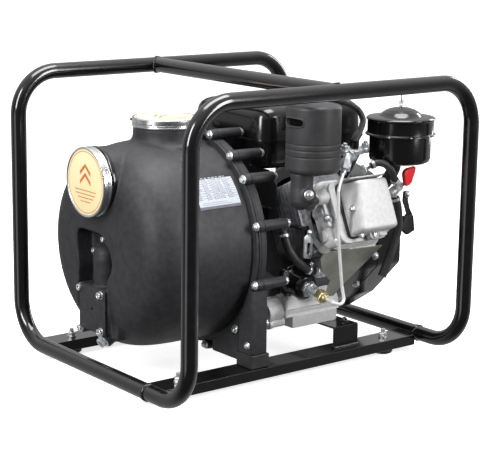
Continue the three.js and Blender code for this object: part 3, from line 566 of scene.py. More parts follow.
# ---------------------------------------------------------------- pieces
def mesh_from(shells, name):
    verts, faces = [], []
    for shell_verts, shell_faces in shells:
        start = len(verts)
        verts += [Vector(v) for v in shell_verts]
        faces += [tuple(start + i for i in face) for face in shell_faces]
    mesh = bpy.data.meshes.new(name)
    lifted = [(v.x * MM, v.y * MM, (v.z + RAIL_HEIGHT) * MM) for v in verts]
    mesh.from_pydata(lifted, [], faces)
    shape = bmesh.new()
    shape.from_mesh(mesh)
    bmesh.ops.recalc_face_normals(shape, faces=shape.faces)
    shape.to_mesh(mesh)
    shape.free()
    return mesh


def dress(obj, material, body, slot, stands_for=()):
    obj.data.materials.clear()
    obj.data.materials.append(material)
    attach(obj, body)
    if stands_for:
        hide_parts(*stands_for)


def shade(obj, angle=34):
    obj.data.shade_smooth()
    obj.data.set_sharp_from_angle(angle=math.radians(angle))


def piece(name, slot, shape, stands_for=(), body=None, material=None, bevel=0.0, angle=34):
    """A visible piece from shells or from a finished mesh. It rides the body of the CAD
    node that it stands for, or the one named."""
    obj = scratch_object(shape, name)
    if bevel:
        add_bevel(obj, bevel)
    shade(obj, angle)
    where = body or (NODE_BODY[stands_for[0]] if stands_for else "root")
    dress(obj, material or FINISHES[slot], where, slot, stands_for)


def add_bevel(obj, width, segments=3):
    modifier = obj.modifiers.new("soft_edges", "BEVEL")
    modifier.width = width * MM
    modifier.segments = segments
    modifier.limit_method = "ANGLE"
    modifier.angle_limit = math.radians(32)
    modifier.harden_normals = True
    modifier.use_clamp_overlap = True


def scratch_object(shape, name="scratch"):
    if isinstance(shape, bpy.types.Mesh):
        shape.name = name
    else:
        shape = mesh_from(shape, name)
    obj = bpy.data.objects.new(name, shape)
    bpy.context.collection.objects.link(obj)
    return obj


def combined(base, adds=(), cuts=(), voxel=0.0, smoothing=0):
    """Booleans of shells with shells or a mesh, then an optional remesh whose smoothing
    fillets the joints."""
    obj = scratch_object(base, "combined")
    tools = []
    for operation, group in (("UNION", adds), ("DIFFERENCE", cuts)):
        for shell in group:
            tool = scratch_object([shell])
            tools.append(tool)
            modifier = obj.modifiers.new(operation, "BOOLEAN")
            modifier.operation = operation
            modifier.solver = "EXACT"
            modifier.object = tool
    if voxel:
        modifier = obj.modifiers.new("even", "REMESH")
        modifier.mode = "VOXEL"
        modifier.voxel_size = voxel * MM
    if smoothing:
        modifier = obj.modifiers.new("melt", "SMOOTH")
        modifier.factor = 0.5
        modifier.iterations = smoothing
    bpy.context.view_layer.update()
    graph = bpy.context.evaluated_depsgraph_get()
    mesh = bpy.data.meshes.new_from_object(obj.evaluated_get(graph))
    for tool in tools + [obj]:
        bpy.data.objects.remove(tool, do_unlink=True)
    return mesh


def refined(node, bevel=0.8, segments=2):
    """A CAD node's own shape with its edges softened."""
    mesh = frame["nodes"][node].data.copy()
    shape = bmesh.new()
    shape.from_mesh(mesh)
    bmesh.ops.remove_doubles(shape, verts=shape.verts, dist=1e-6)
    bmesh.ops.dissolve_limit(
        shape, angle_limit=math.radians(0.8), verts=shape.verts, edges=shape.edges,
    )
    bmesh.ops.recalc_face_normals(shape, faces=shape.faces)
    shape.to_mesh(mesh)
    shape.free()
    obj = scratch_object(mesh, f"{node}_refined")
    add_bevel(obj, bevel, segments)
    shade(obj, 30)
    slot = NODE_SLOT[node]
    dress(obj, FINISHES[slot], NODE_BODY[node], slot, (node,))


# ---------------------------------------------------------------- fasteners
def hexagon(across_flats):
    return [p.to_2d() for p in circle(Vector(), X, Y, across_flats / math.sqrt(3), 6)]


def hex_nut(origin, direction, across_flats=13, height=6.5):
    return prism(hexagon(across_flats), 0, height, basis(origin, direction), edge=0.8)


def washer(origin, direction, radius=8, thickness=1.6):
    profile = [(0, 0), (radius, 0), (radius, thickness), (0, thickness)]
    return soft_lathe(profile, origin, direction, 0.4, 40)


def nut_and_stud(origin, direction, size=13, proud=6):
    line = Vector(direction).normalized()
    origin = Vector(origin)
    stud = rod(origin, origin + line * (8 + proud), size * 0.3, 20, 0.8)
    return [
        washer(origin, line, size * 0.62),
        hex_nut(origin + line * 1.6, line, size, size * 0.5),
        stud,
    ]


def flange_bolt(origin, direction, size=10):
    """A hex head on a round flange, with a domed top."""
    line = Vector(direction).normalized()
    origin = Vector(origin)
    flange = [(0, 0), (size * 0.78, 0), (size * 0.78, 1), (size * 0.6, 2.2), (0, 2.2)]
    head = prism(hexagon(size), 1.5, size * 0.55, basis(origin, line), edge=1.0)
    crown = [(0, 0.4), (0.42, 0.4), (0.40, 0.58), (0.25, 0.68), (0, 0.7)]
    crown = lathe([(size * r, size * h) for r, h in crown], origin, line, 24)
    return [soft_lathe(flange, origin, line, 0.4, 32), head, crown]


def socket_bolt(origin, direction, radius=6.5, height=7):
    """A cap screw: a round head with a hex socket shown by its dark floor."""
    line = Vector(direction).normalized()
    socket, floor = radius * 0.56, height * 0.35
    profile = [
        (socket, floor), (socket, height), (radius, height), (radius, 0), (0.4, 0), (0.4, floor),
    ]
    return soft_lathe(profile, origin, line, 0.7, 36)


# ---------------------------------------------------------------- frame
def hoop(side):
    wall = side * HALF_WIDTH
    splice = SPLICE_Y + side * SEAM_GAP / 2
    path = bent_path([
        (-HALF_LENGTH, splice, 0), (-HALF_LENGTH, wall, 0), (-HALF_LENGTH, wall, FRAME_TOP),
        (HALF_LENGTH, wall, FRAME_TOP), (HALF_LENGTH, wall, 0), (HALF_LENGTH, splice, 0),
    ], BEND_R, 24)
    return tube(path, TUBE_R, 48)


def weld_bead(path, radius=1.9):
    """A stacked bead round a loop: a tube that swells once for every pitch of its length."""
    pitch = 2.6
    path = path + path[:1]
    count = len(path)
    rings = []
    travelled = 0.0
    for i, point in enumerate(path):
        ahead = (path[(i + 1) % count] - path[i - 1]).normalized()
        side = ahead.orthogonal().normalized()
        size = radius * (1 + 0.22 * math.sin(2 * PI * travelled / pitch))
        rings.append(circle(point, side, ahead.cross(side), size, 8))
        travelled += (path[(i + 1) % count] - point).length
    return loft(rings)


def weld_run(start, end, radius, swell, beat):
    """A straight rippled bead."""
    steps = range(41)
    path = [Vector(start).lerp(Vector(end), k / 40) for k in steps]
    return tube(path, [radius + swell * math.sin(beat * k) for k in steps], 10)


def saddle(side, steps, gap, spread=1.0):
    """Where the cross tube meets a hoop of the same radius."""
    points = []
    for turn in turns(steps):
        x, z = TUBE_R * math.cos(turn), TUBE_R * math.sin(turn)
        reach = HALF_WIDTH - math.sqrt(max(TUBE_R ** 2 - z * z, 0)) - gap
        points.append(Vector((CROSS_TUBE_X + x * spread, side * reach, FRAME_TOP + z * spread)))
    return points


def build_frame():
    piece("near_hoop_tube", "black_paint", [hoop(-1)], ["near_hoop"])
    piece("far_hoop_tube", "black_paint", [hoop(1)], ["far_hoop"])
    cross_tube = loft([saddle(side, 64, 0.4) for side in (-1, 1)])
    piece("cross_tube_coped", "black_paint", [cross_tube], ["top_cross_tube"], angle=50)
    beads = [weld_bead(saddle(side, 120, 0.5, 1.05)) for side in (-1, 1)]
    for end in (-1, 1):
        splice = Vector((end * HALF_LENGTH, SPLICE_Y, 0))
        beads.append(ring_of(splice - Y * 3.5, splice + Y * 3.5, TUBE_R - 1, TUBE_R + 1.5, 1.2))
        beads.append(weld_bead(circle(splice - Y * 5, X, -Z, TUBE_R + 0.3, 80), 1.6))
    piece("frame_welds", "black_paint", beads, angle=60)
    for node in ("near_channel", "far_channel"):
        refined(node, 1.6, segments=3)
    welds = []
    for end in (-1, 1):
        for side in (-1, 1):
            y = UNIT_Y + side * FOOT_OFFSET
            x = end * (HALF_LENGTH - TUBE_R + 1.0)
            welds.append(weld_run((x, y + 25, 1), (x, y - 25, 1), 2.0, 0.35, 2.2))
    piece("channel_welds", "black_paint", welds, angle=60)
    studs = []
    profile = [
        (0, -30), (16.5, -30), (19, -27.5), (19, -20), (17.2, -18.5), (17.2, -16.5),
        (19, -15), (19, -8), (12, -3.4), (0, -3.4),
    ]
    for end, x in (("front", -FOOT_X), ("rear", FOOT_X)):
        for word, side in (("near", -1), ("far", 1)):
            at = (x, UNIT_Y + side * FOOT_OFFSET, 0)
            node = f"{end}_{word}_foot"
            piece(f"{node}_turned", "rubber", [soft_lathe(profile, at, Z, 0.9, 64)], [node])
            studs += nut_and_stud(at, Z, 14, 8)
    piece("foot_nuts", "zinc", studs, angle=30)


# ---------------------------------------------------------------- pump
def dome_radius(x):
    """The casing's outside radius at x, on the superellipse of its domed end."""
    depth = SEAM_X - CASING_FRONT
    part = min(abs(SEAM_X - x) / depth, 1.0)
    return CASING_R * (1 - part ** CASING_POWER) ** (1 / CASING_POWER)


def dome_profile(inset, steps):
    """Half of the casing's section as [radius, x], drawn in by `inset`."""
    radius = CASING_R - inset
    depth = SEAM_X - (CASING_FRONT + inset)
    points = []
    for i in range(steps + 1):
        angle = PI / 2 * (1 - i / steps)
        along = math.sin(angle) ** (2 / CASING_POWER)
        out = max(math.cos(angle), 0.0) ** (2 / CASING_POWER)
        points.append((radius * out if i else 0.0, SEAM_X - depth * along))
    return points


def boss_centres():
    """Each flange bolt's y, z, angle above the horizontal, and side."""
    for side in (-1, 1):
        for degrees in BOSS_ANGLES:
            angle = math.radians(degrees)
            yield (
                UNIT_Y + side * BOLT_CIRCLE_R * math.cos(angle),
                CASING_Z + BOLT_CIRCLE_R * math.sin(angle),
                angle,
                side,
            )


def casing_mesh():
    outer = dome_profile(0, 40)
    inner = dome_profile(CASING_WALL, 24)[::-1]
    wall_end = BOSS_FRONT + 4
    outer = [p for p in outer if p[1] < wall_end] + [(CASING_R, wall_end)]
    inner = [(CASING_R - CASING_WALL, wall_end)] + [p for p in inner if p[1] < wall_end]
    shell = lathe(outer + inner, CASING_CENTRE, X, 144)
    liner = block(
        (CASING_FRONT + CASING_WALL, RECESS_FLOOR + CASING_WALL), (-17, 109), (52, 245), 8, 1,
    )
    reach = 18
    up = Vector((DISCHARGE_X, UNIT_Y, 0))
    discharge_neck = rod(up + Z * 372, up + Z * (DISCHARGE_TOP - reach), PORT_R, FINE, 0.8)
    suction_neck = rod_x(-221.3, SUCTION_FACE + reach, UNIT_Y, SUCTION_Z, PORT_R, FINE, 0.8)
    neck_root = lathe(
        [(0, 0), (PORT_R + 11, 0), (PORT_R + 4, 6), (PORT_R + 1, 12), (PORT_R, 19), (0, 19)],
        up + Z * 386, Z,
    )
    discharge_bore = rod(up + Z * 340, up + Z * 440, PORT_BORE, FINE, 0)
    suction_bore = rod_x(-212, -330, UNIT_Y, SUCTION_Z, PORT_BORE, FINE, 0)
    recess = prism(smooth_outline(RECESS_OUTLINE), -330, RECESS_FLOOR, ALONG_X)
    hollow = combined(
        [shell], [liner, discharge_neck, suction_neck, neck_root],
        [discharge_bore, suction_bore, recess],
    )
    column = tube(
        [(-272.5, 43.3, z) for z in (126.7, 150, 165, 190, 203, 209, 213, 215.5)],
        [21.5, 21.5, 22.5, 23.5, 21, 16, 10, 2.5], 41,
    )
    seat = block((-297.6, RECESS_FLOOR - 1), PLATE_Y, PLATE_Z, 3, 1)
    drain_lug = rod(DRAIN_SEAT - DRAIN_DIRECTION * 40, DRAIN_SEAT, 15.5, 40, 1.5)
    side_boss = rod_x(-258, -268, 88, 195, 8, 32, 1.5)
    plate_bosses = [rod_x(-258, -299, 86, z, 9, 32, 1.5) for z in (132, 56)]
    solids = [column, seat, drain_lug, side_boss] + plate_bosses
    return combined(hollow, solids, voxel=2.0, smoothing=4)


def flange_ring(x0, x1, grooves=()):
    """The thick rim at the casing's back; grooves are the double seam lines."""
    profile = [(CASING_R - CASING_WALL, x0), (FLANGE_R, x0)]
    for groove in grooves:
        profile += [(FLANGE_R, groove - 1), (FLANGE_R - 1.6, groove - 0.5),
                    (FLANGE_R - 1.6, groove + 0.5), (FLANGE_R, groove + 1)]
    profile += [(FLANGE_R, x1), (CASING_R - CASING_WALL, x1)]
    return soft_lathe(profile, CASING_CENTRE, X, 0.6, 192)


def build_casing():
    piece("casing_dome", "black_plastic", casing_mesh(), ["pump_casing"], angle=60)
    seam_end = SEAM_X - SEAM_GAP / 2
    shells = [flange_ring(BOSS_FRONT, seam_end, [-84.5])]
    for y, z, _, _ in boss_centres():
        shells.append(rod_x(BOSS_FRONT - 1, seam_end, y, z, BOSS_R - 1.2, 40, 1.5, BOSS_R))
    piece("casing_flange", "black_plastic", shells)


def adapter_shells():
    face = SEAM_X + SEAM_GAP / 2
    rim = [
        (26.5, face), (FLANGE_R, face), (FLANGE_R, -68), (FLANGE_R - 3, -65), (150, -60), (26.5, -60),
    ]
    hub = [
        (26.2, -62), (134, -62), (122, -54), (90, -22), (86, -15.3), (62.3, -15.3), (62, -55),
        (26.2, -55),
    ]
    shells = [
        soft_lathe(rim, CASING_CENTRE, X, 0.8, 192),
        soft_lathe(hub, CRANK_CENTRE, X, 2.0, 128),
    ]
    for y, z, angle, side in boss_centres():
        shells.append(rod_x(face, BOSS_BACK, y, z, BOSS_R, 40, 1.2, BOSS_R - 1.0))
        radial = Vector((0, side * math.cos(angle), math.sin(angle)))
        place = basis(CASING_CENTRE + radial * (FLANGE_R - 60), radial, X)
        shells.append(block((-66, -38), (-3, 3), (0, 58), 1.5, 0.6, place))
    for side in (-1, 1):
        span = sorted((UNIT_Y + side * 160, UNIT_Y + side * 70))
        shells.append(block((face, -68), span, (26, 110), 2, 0.8))
    return shells


def clearance(y, z, radius, segments):
    """Room for a part of the casing in what stands in front of the seam."""
    return rod_x(-110, SEAM_X + SEAM_GAP / 2, y, z, radius, segments, 0)


def foot_web(side):
    """The web beside each leg, carved to the flange and the bosses it passes under."""
    span = sorted((UNIT_Y + side * 151, UNIT_Y + side * 75))
    web = block((-94, -68), span, (8, 110), 2.5, 1.0)
    cuts = [clearance(UNIT_Y, CASING_Z, FLANGE_R + 0.3, 160)]
    for y, z, angle, boss_side in boss_centres():
        if boss_side == side and angle < -0.6:
            cuts.append(clearance(y, z, BOSS_R + 1, 32))
    return combined([web], cuts=cuts)


def leg_mesh(side):
    low, high = sorted((UNIT_Y + side * 195, UNIT_Y + side * 155))
    leg = block((-97, -62), (low, high), (26, 142), 3, 1.2)
    pocket = block((-66, -50), (low + 6, high - 6), (34, 130), 2, 0)
    return combined([leg], cuts=[clearance(UNIT_Y, CASING_Z, FLANGE_R + 0.3, 160), pocket])


def build_adapter():
    piece("adapter_body", "black_plastic", adapter_shells(), ["pump_adapter"])
    for side, word in ((-1, "near"), (1, "far")):
        piece(f"adapter_{word}_leg", "black_plastic", leg_mesh(side), bevel=0.8)
        piece(f"adapter_{word}_web", "black_plastic", foot_web(side), bevel=0.8)
        refined(f"{word}_leg_block", 2.0)
    heads, nuts = [], []
    for y, z, _, _ in boss_centres():
        heads += flange_bolt((BOSS_FRONT - 1.5, y, z), -X, 10.5)
        nuts += [washer((BOSS_BACK, y, z), X, 8.5), hex_nut((BOSS_BACK + 1.6, y, z), X, 12, 5.5)]
    for side in (-1, 1):
        heads += flange_bolt((-97, UNIT_Y + side * 183, 42), -X, 9)
        heads += flange_bolt((-94, UNIT_Y + side * 143, 62), -X, 9)
    nuts += nut_and_stud((-78, UNIT_Y + 164, 25.7), Z, 10, 2)
    piece("flange_bolts", "zinc", heads, angle=30)
    piece("flange_nuts", "zinc", nuts, angle=30)


def casing_patch(x_span, angle_span, lift, thickness=0.25):
    """A thin sheet lying on the casing's near side, by X and degrees above the horizontal."""
    columns, rows = 24, 16
    (x0, x1), (low, high) = x_span, angle_span
    points = []
    for level in (0, thickness):
        for i in range(columns + 1):
            x = x0 + (x1 - x0) * i / columns
            radius = dome_radius(x) + lift + level
            for j in range(rows + 1):
                angle = math.radians(low + (high - low) * j / rows)
                radial = Vector((0, -math.cos(angle), math.sin(angle)))
                points.append(CASING_CENTRE + X * x + radial * radius)
    faces = []
    wide = rows + 1
    top = (columns + 1) * wide
    for i in range(columns):
        for j in range(rows):
            a, b = i * wide + j, (i + 1) * wide + j
            faces.append((a, a + 1, b + 1, b))
            faces.append((top + a, top + b, top + b + 1, top + a + 1))
    rim = [i * wide for i in range(columns + 1)]
    rim += [columns * wide + j for j in range(1, rows + 1)]
    rim += [i * wide + rows for i in reversed(range(columns))]
    rim += [j for j in reversed(range(1, rows))]
    for a, b in zip(rim, rim[1:] + rim[:1]):
        faces.append((a, b, top + b, top + a))
    return points, faces


def build_label():
    """A blank data label: a dark header with bars, and a ruled table with dashes for words."""
    x0, x1 = LABEL_X
    wide = x1 - x0
    low, high = LABEL_ANGLES
    bottom, top = low + 4.6, high - 1.3

    def mark(x, length, angle, height=0.2, lift=0.6, thickness=0.08):
        return casing_patch((x, x + length), (angle, angle + height), lift, thickness)

    lines = [mark(x0, wide, low, 1.5, thickness=0.1)]
    lines += [mark(x0 + 2, wide - 4, bottom + (top - bottom) * k / 9) for k in range(1, 9)]
    for share in (0.24, 0.42, 0.58, 0.76):
        lines.append(mark(x0 + wide * share, 0.8, bottom, top - bottom))
    lines += [mark(x0 + 6, wide - 24 - 9 * k, low + 2.3 + k) for k in range(2)]
    words = random.Random(7)
    for k in range(9):
        angle = bottom + (top - bottom) * (k + 0.45) / 9
        for share in (0.03, 0.27, 0.45, 0.61, 0.79):
            lines.append(mark(x0 + wide * share, words.uniform(6, 12), angle, 0.3))
    bars = [mark(x0 + 22 + 8 * k, words.uniform(3, 6), high - 0.85, 0.4, 0.75, 0.06) for k in range(7)]
    for name, shells, material in (
        ("label_sheet", [casing_patch(LABEL_X, LABEL_ANGLES, 0.3)], WHITE_LABEL),
        ("label_header", [mark(x0, wide, top, 1.3, thickness=0.12)], BLACK_PRINT),
        ("label_header_bars", bars, WHITE_LABEL),
        ("label_table_lines", lines, GREY_PRINT),
    ):
        piece(name, "black_plastic", shells, material=material)


def port_ring(origin, direction):
    profile = [
        (PORT_BORE, 0), (PORT_R + 0.6, 0), (PORT_RIM_R, 2), (PORT_RIM_R, 4), (PORT_RIM_R - 2.2, 4.8),
        (PORT_RIM_R - 2.2, 5.6), (PORT_RIM_R, 6.2), (PORT_RIM_R, 8), (PORT_BORE, 8),
    ]
    return soft_lathe(profile, origin, direction, 0.5, 128)


def port_cap(origin, direction):
    profile = [
        (0, 5), (46, 5), (46, -6), (49.4, -6), (49.4, 0.3), (PORT_RIM_R, 0.3), (PORT_RIM_R, 7.8),
        (61.2, 9.3), (59.6, 9.7), (58.2, 9.2), (57.6, 8.2), (0, 8.0),
    ]
    return soft_lathe(profile, origin, direction, 0.6, 128)


def sticker(origin, direction):
    low, high = STICKER_Z
    profile = [(0, low), (STICKER_R, low), (STICKER_R, high), (0, high)]
    return soft_lathe(profile, origin, direction, 0.1, 96)


def sticker_print(origin, direction, side):
    """Generic marks: a border ring, a pair of flow arrows and ruled bars, no lettering."""
    place = basis(origin, direction, side)
    low, high = STICKER_Z[1], STICKER_Z[1] + 0.15
    shells = [ring_of(place @ (Z * low), place @ (Z * high), 53.4, 54.6, 0)]
    for lift in (18, 2):
        arrow = [
            (-17, lift), (0, lift + 15), (17, lift), (17, lift - 7), (0, lift + 8), (-17, lift - 7),
        ]
        shells.append(prism(arrow, low, high, place))
    for k, width in enumerate((34, 31, 25, 16)):
        upper = -14 - 6.5 * k
        lower = upper - 1.6
        bar = [(-width, upper), (width, upper), (width, lower), (-width, lower)]
        shells.append(prism(bar, low, high, place))
    return shells


def build_ports():
    for word, origin, direction, side, film in (
        ("suction", Vector((SUCTION_FACE, UNIT_Y, SUCTION_Z)), -X, -Y, CREAM),
        ("discharge", Vector((DISCHARGE_X, UNIT_Y, DISCHARGE_TOP)), Z, X, PEACH),
    ):
        ring_at = origin - direction * 17.7
        cap_at = origin - direction * 9.5
        body = f"{word}_cap_body"
        piece(f"{word}_rim", "steel", [port_ring(ring_at, direction)], [f"{word}_ring"])
        piece(f"{word}_cap_cup", "steel", [port_cap(cap_at, direction)], [f"{word}_cap"])
        piece(f"{word}_cap_sticker", "steel", [sticker(cap_at, direction)], body=body, material=film)
        marks = sticker_print(cap_at, direction, side)
        piece(f"{word}_cap_print", "steel", marks, body=body, material=ORANGE)
    collar = soft_lathe(
        [(PORT_R - 0.5, 0), (PORT_R + 1.6, 0), (PORT_R + 1.6, 6), (PORT_R - 0.5, 8)],
        (SUCTION_FACE + 27, UNIT_Y, SUCTION_Z), -X, 0.8, 128,
    )
    piece("suction_neck_collar", "black_plastic", [collar], material=GLOSS_BLACK)
    out = Vector((-0.786, 0.618, 0))
    at = Vector((DISCHARGE_X, UNIT_Y, DISCHARGE_TOP - 6)) + out * 61
    tab = block((-2, 2), (-4, 4), (0, 4), 1, 0.5, basis(at, out, Z))
    piece("discharge_seal_tab", "rubber", [tab], body="root")


def build_front_plate():
    outline = rectangle(*PLATE_Y, *PLATE_Z, 5)
    hole = rod_x(-312, -290, 45, 100, 3.0, 24, 0)
    plate = combined([prism(outline, -302, -298, ALONG_X, 0.6)], cuts=[hole])
    piece("front_plate_bored", "black_plastic", plate, ["front_plate"], bevel=0.4)
    bolts, washers = [], []
    for x, y, z in ((-299, 86, 132), (-302, 16, 131), (-302, 16, 64), (-299, 86, 56)):
        bolts.append(socket_bolt((x - 0.8, y, z), -X, 6.2, 6))
        washers.append(washer((x, y, z), -X, 7.6, 0.9))
    bolts.append(socket_bolt((-294.5, 16, 231), -X, 4.6, 5))
    bolts.append(socket_bolt((-268.0, 88, 195), -X, 5.0, 5))
    piece("front_bolts", "zinc", bolts + washers, angle=30)
    seat = DRAIN_SEAT + DRAIN_DIRECTION * 0.3
    collar = [(0, 0), (12.5, 0), (12.5, 2.4), (9.5, 3.2), (0, 3.2)]
    drain = [
        soft_lathe(collar, seat, DRAIN_DIRECTION, 0.6, 48),
        prism(hexagon(15.5), 2.8, 10.5, basis(seat, DRAIN_DIRECTION, Y), 1.2),
    ]
    piece("drain_plug_hex", "zinc", drain, ["drain_plug"], angle=30)


def build_pump_inside():
    for node in ("volute", "impeller", "wear_plate", "shaft_seal"):
        refined(node, 0.6)
    flap = [
        rod_x(-221, -216.6, UNIT_Y, SUCTION_Z, 50.6, FINE, 1.0),
        block((-220.8, -217), (UNIT_Y - 11, UNIT_Y + 11), (SUCTION_Z + 38, SUCTION_Z + 48.5), 2, 0.8),
        rod_x(-217, -208, UNIT_Y, SUCTION_Z, 30, 64, 1.5),
    ]
    piece("valve_flap_moulded", "rubber", flap, ["check_valve_flap"])


# ---------------------------------------------------------------- engine
def build_crankcase():
    refined("crankcase", 2.4, segments=4)
    shells = [
        rod_x(-14, -3.5, -79, 74, 25, 48, 2.0),
        rod_x(-12, -3.6, -93, 56, 10, 32, 1.5),
        block((44, 154), (-98, -90), (BRACKET_TOP_Z, 62), 3, 1.2),
        block((20, 150), (-99, -94), (70, 76), 1.5, 0.8),
        block((24, 30), (-101, -92), (64, 104), 1.5, 0.8),
    ]
    piece("crankcase_bosses", "aluminium", shells)
    outer = [(-78.6, 103), (-78.6, 118.2), (-60.4, 156.8), (-16, 255), (20, 262.8), (80, 252)]
    skin = outer + [(y + 3, z - 1.5) for y, z in reversed(outer)]
    spigot = rod(in_head(CYLINDER_X, 0, 30), in_head(CYLINDER_X, 0, 150), 48, FINE, 0)
    side = combined([prism(skin, -14.6, 168.6, ALONG_X)], cuts=[spigot])
    piece("crankcase_side_skin", "matt_black", side, angle=40)
    bolts = flange_bolt((-14.2, -93, 56), -X, 8.5) + flange_bolt((-14.2, -70, 92), -X, 8)
    piece("crankcase_bolts", "zinc", bolts, angle=30)
    bevels = {"crankshaft": 0.8, "flywheel": 1.0, "piston": 0.6, "connecting_rod": 1.2}
    for node, bevel in bevels.items():
        refined(node, bevel)


def build_bracket():
    refined("engine_bracket", 2.2, segments=4)
    beads = []
    for x in (112, 173):
        beads.append(tube([(x, -140, 1.5), (x, -133, 1.5)], 2.0, 8))
    for y in (-139.5, 219.5):
        beads.append(weld_run((112, y, 1.2), (173, y, 1.2), 2.1, 0.4, 1.9))
    piece("bracket_welds", "black_paint", beads, angle=60)
    bolts = []
    for x, y in ((160, -112), (126, 200), (160, 200)):
        bolts += flange_bolt((x, y, BRACKET_TOP_Z - 0.2), Z, 10)
    piece("bracket_bolts", "black_paint", bolts, angle=30)


def blower_outline(inset):
    """Round on the far side, flat-sided on the near one, as (y, z)."""
    radius = BLOWER_R - inset
    arc = [
        (UNIT_Y + radius * math.cos(math.radians(a)), CRANK_Z + radius * math.sin(math.radians(a)))
        for a in range(-100, 101, 5)
    ]
    side, diagonal = -124 + inset, 0.7 * inset
    corners = [
        (-40 + diagonal, 302 - diagonal), (-90 + diagonal, 268 - diagonal), (side, 225),
        (side, 140 + diagonal / 2), (-53 + diagonal, 67 + diagonal),
    ]
    near = rounded([arc[-1]] + corners + [arc[0]], [0, 30, 30, 24, 14, 30, 0], 6, closed=False)
    return arc + [(p.x, p.y) for p in near[1:-1]]


def build_blower():
    fan_hole = rod_x(280, 300, UNIT_Y, CRANK_Z, 104, FINE, 0)
    back_hole = rod_x(170, 185, UNIT_Y, CRANK_Z, 122, FINE, 0)
    inside = prism(blower_outline(3), 179, 289, ALONG_X)
    shell = prism(blower_outline(0), 176, 292, ALONG_X, 6.0, 5)
    shell = combined([shell], cuts=[inside, back_hole, fan_hole])
    piece("blower_shell", "gloss_black", shell, ["blower_housing"], angle=28)
    lip = prism(blower_outline(-0.9), 229, 234, ALONG_X, 1.0)
    lip_hole = prism(blower_outline(2), 220, 240, ALONG_X)
    piece("blower_joint_lip", "gloss_black", combined([lip], cuts=[lip_hole]), angle=28)
    cover = soft_lathe([
        (0, 303.5), (92, 303), (99, 292.3), (112, 292.3), (108, 297.5), (99, 305), (62, 306.5),
        (58, 304.5), (28, 304.5), (24, 307.5), (0, 309),
    ], CRANK_CENTRE, X, 1.2, 128)
    ribs = []
    for turn in turns(18):
        radial = Vector((0, math.cos(turn), math.sin(turn)))
        place = basis(CRANK_CENTRE + X * 303.6 + radial * 66, radial, X)
        ribs.append(block((0, 3.4), (-3, 3), (0, 26), 1.2, 0.5, place))
    piece("recoil_cover_pressed", "gloss_black", [cover] + ribs, ["recoil_cover"])
    bolts = []
    for turn in turns(3):
        radial = Vector((0, math.cos(turn + 0.5), math.sin(turn + 0.5)))
        bolts += flange_bolt(CRANK_CENTRE + X * 295 + radial * 106, X, 9)
    bolts += flange_bolt((223, -124, 160), -Y, 10)
    bolts += flange_bolt((215, -82, 98), (0, -0.72, -0.70), 10)
    piece("blower_bolts", "zinc", bolts, angle=30)
    refined("recoil_handle", 3.0, segments=4)


def build_cylinder():
    core = prism(rectangle(44, 150, -52, 60, 22), 60, DECK - 0.3, HEAD_FRAME, 1.0)
    fins = []
    for k in range(FIN_COUNT):
        level = FIN_FIRST + k * FIN_PITCH
        fins.append(prism(rectangle(36, 164, -58, 82, 16, 10), level, level + 2.6, HEAD_FRAME, 0.9))
    bore = rod(in_head(CYLINDER_X, 0, 40), in_head(CYLINDER_X, 0, DECK + 5), 40.2, FINE, 0)
    body = combined([core], adds=fins, cuts=[bore])
    piece("cylinder_fins", "cast_fins", body, ["cylinder"], angle=40)


def stacked(levels, box, corner, place=WORLD, corner_steps=8):
    """Rounded rectangles skinned together: a box drawn in by each (height, inset) level."""
    x0, x1, y0, y1 = box
    rings = []
    for height, inset in levels:
        radius = max(corner - inset * 0.5, 3)
        outline = rectangle(x0 + inset, x1 - inset, y0 + inset, y1 - inset, radius, corner_steps)
        rings.append([place @ Vector((*p, height)) for p in outline])
    return loft(rings)


def build_head():
    lower = [(DECK, 1.5), (DECK + 1.5, 0), (200, 0), (202, 3), (206, 3), (208, 0), (217, 0), (222, 5)]
    upper = [(218, 0), (233, 0), (234.5, -2.5), (239, -2.5), (240, -1.5)]
    port = in_head(30, 33, 226)
    shells = [
        stacked(lower, (62, 178, -64, 64), 16, HEAD_FRAME),
        stacked(upper, (72, 180, -56, 54), 18, HEAD_FRAME),
        rod(in_head(80, 33, 226), port, 13, 40, 1.5),
        soft_lathe([(0, 0), (21, 0), (21, 5), (16, 7), (0, 7)], port, X, 1.2, 56),
        rod(in_head(66, -34, 205), in_head(58, -34, 205), 11, 32, 1.5),
        rod(in_head(72, -8, 222), in_head(64, -8, 222), 9, 32, 1.5),
        rod(in_head(64, 8, 196), in_head(64, 8, 224), 10, 32, 2.0),
        rod(in_head(66, -52, 192), in_head(66, -52, 232), 8, 32, 1.5),
        prism(rectangle(58, 76, -22, 26, 8), 204, 228, HEAD_FRAME, 3.0),
        prism(rectangle(100, 172, -68, -54, 6), 196, 214, HEAD_FRAME, 3.0),
    ]
    piece("head_casting", "aluminium", shells, ["cylinder_head"])
    bolts = flange_bolt(in_head(56.5, -6, 232), -X, 9.5)
    bolts += flange_bolt(in_head(62, -8, 224) - X * 1.5, -X, 8)
    bolts += flange_bolt(in_head(66, -52, 232), OUTWARD, 9)
    bolts += flange_bolt(in_head(104, -49, 256), OUTWARD, 8.5)
    piece("head_bolts", "zinc", bolts, angle=30)
    gasket = stacked([(240.3, 0), (243.7, 0)], (85, 184, -52, 52), 12, HEAD_FRAME)
    piece("rocker_gasket_sheet", "rubber", [gasket], ["rocker_gasket"])
    piece("rocker_cover_cast", "aluminium", rocker_cover(), ["rocker_cover"])
    lug_bolt = flange_bolt(in_head(135, -52, 256), OUTWARD, 9)
    side_bolt = flange_bolt(in_head(93, -2, 263), -X, 9)
    piece("rocker_cover_bolts", "zinc", lug_bolt + side_bolt, angle=30)
    top = basis(CRANK_CENTRE, ACROSS, X) @ Matrix.Scale(-1, 4, Y)
    plate = prism(rectangle(93, 180, 245, 275, 3), 51.2, 53.4, top, 0.8)
    piece("rocker_top_plate", "aluminium", [plate])


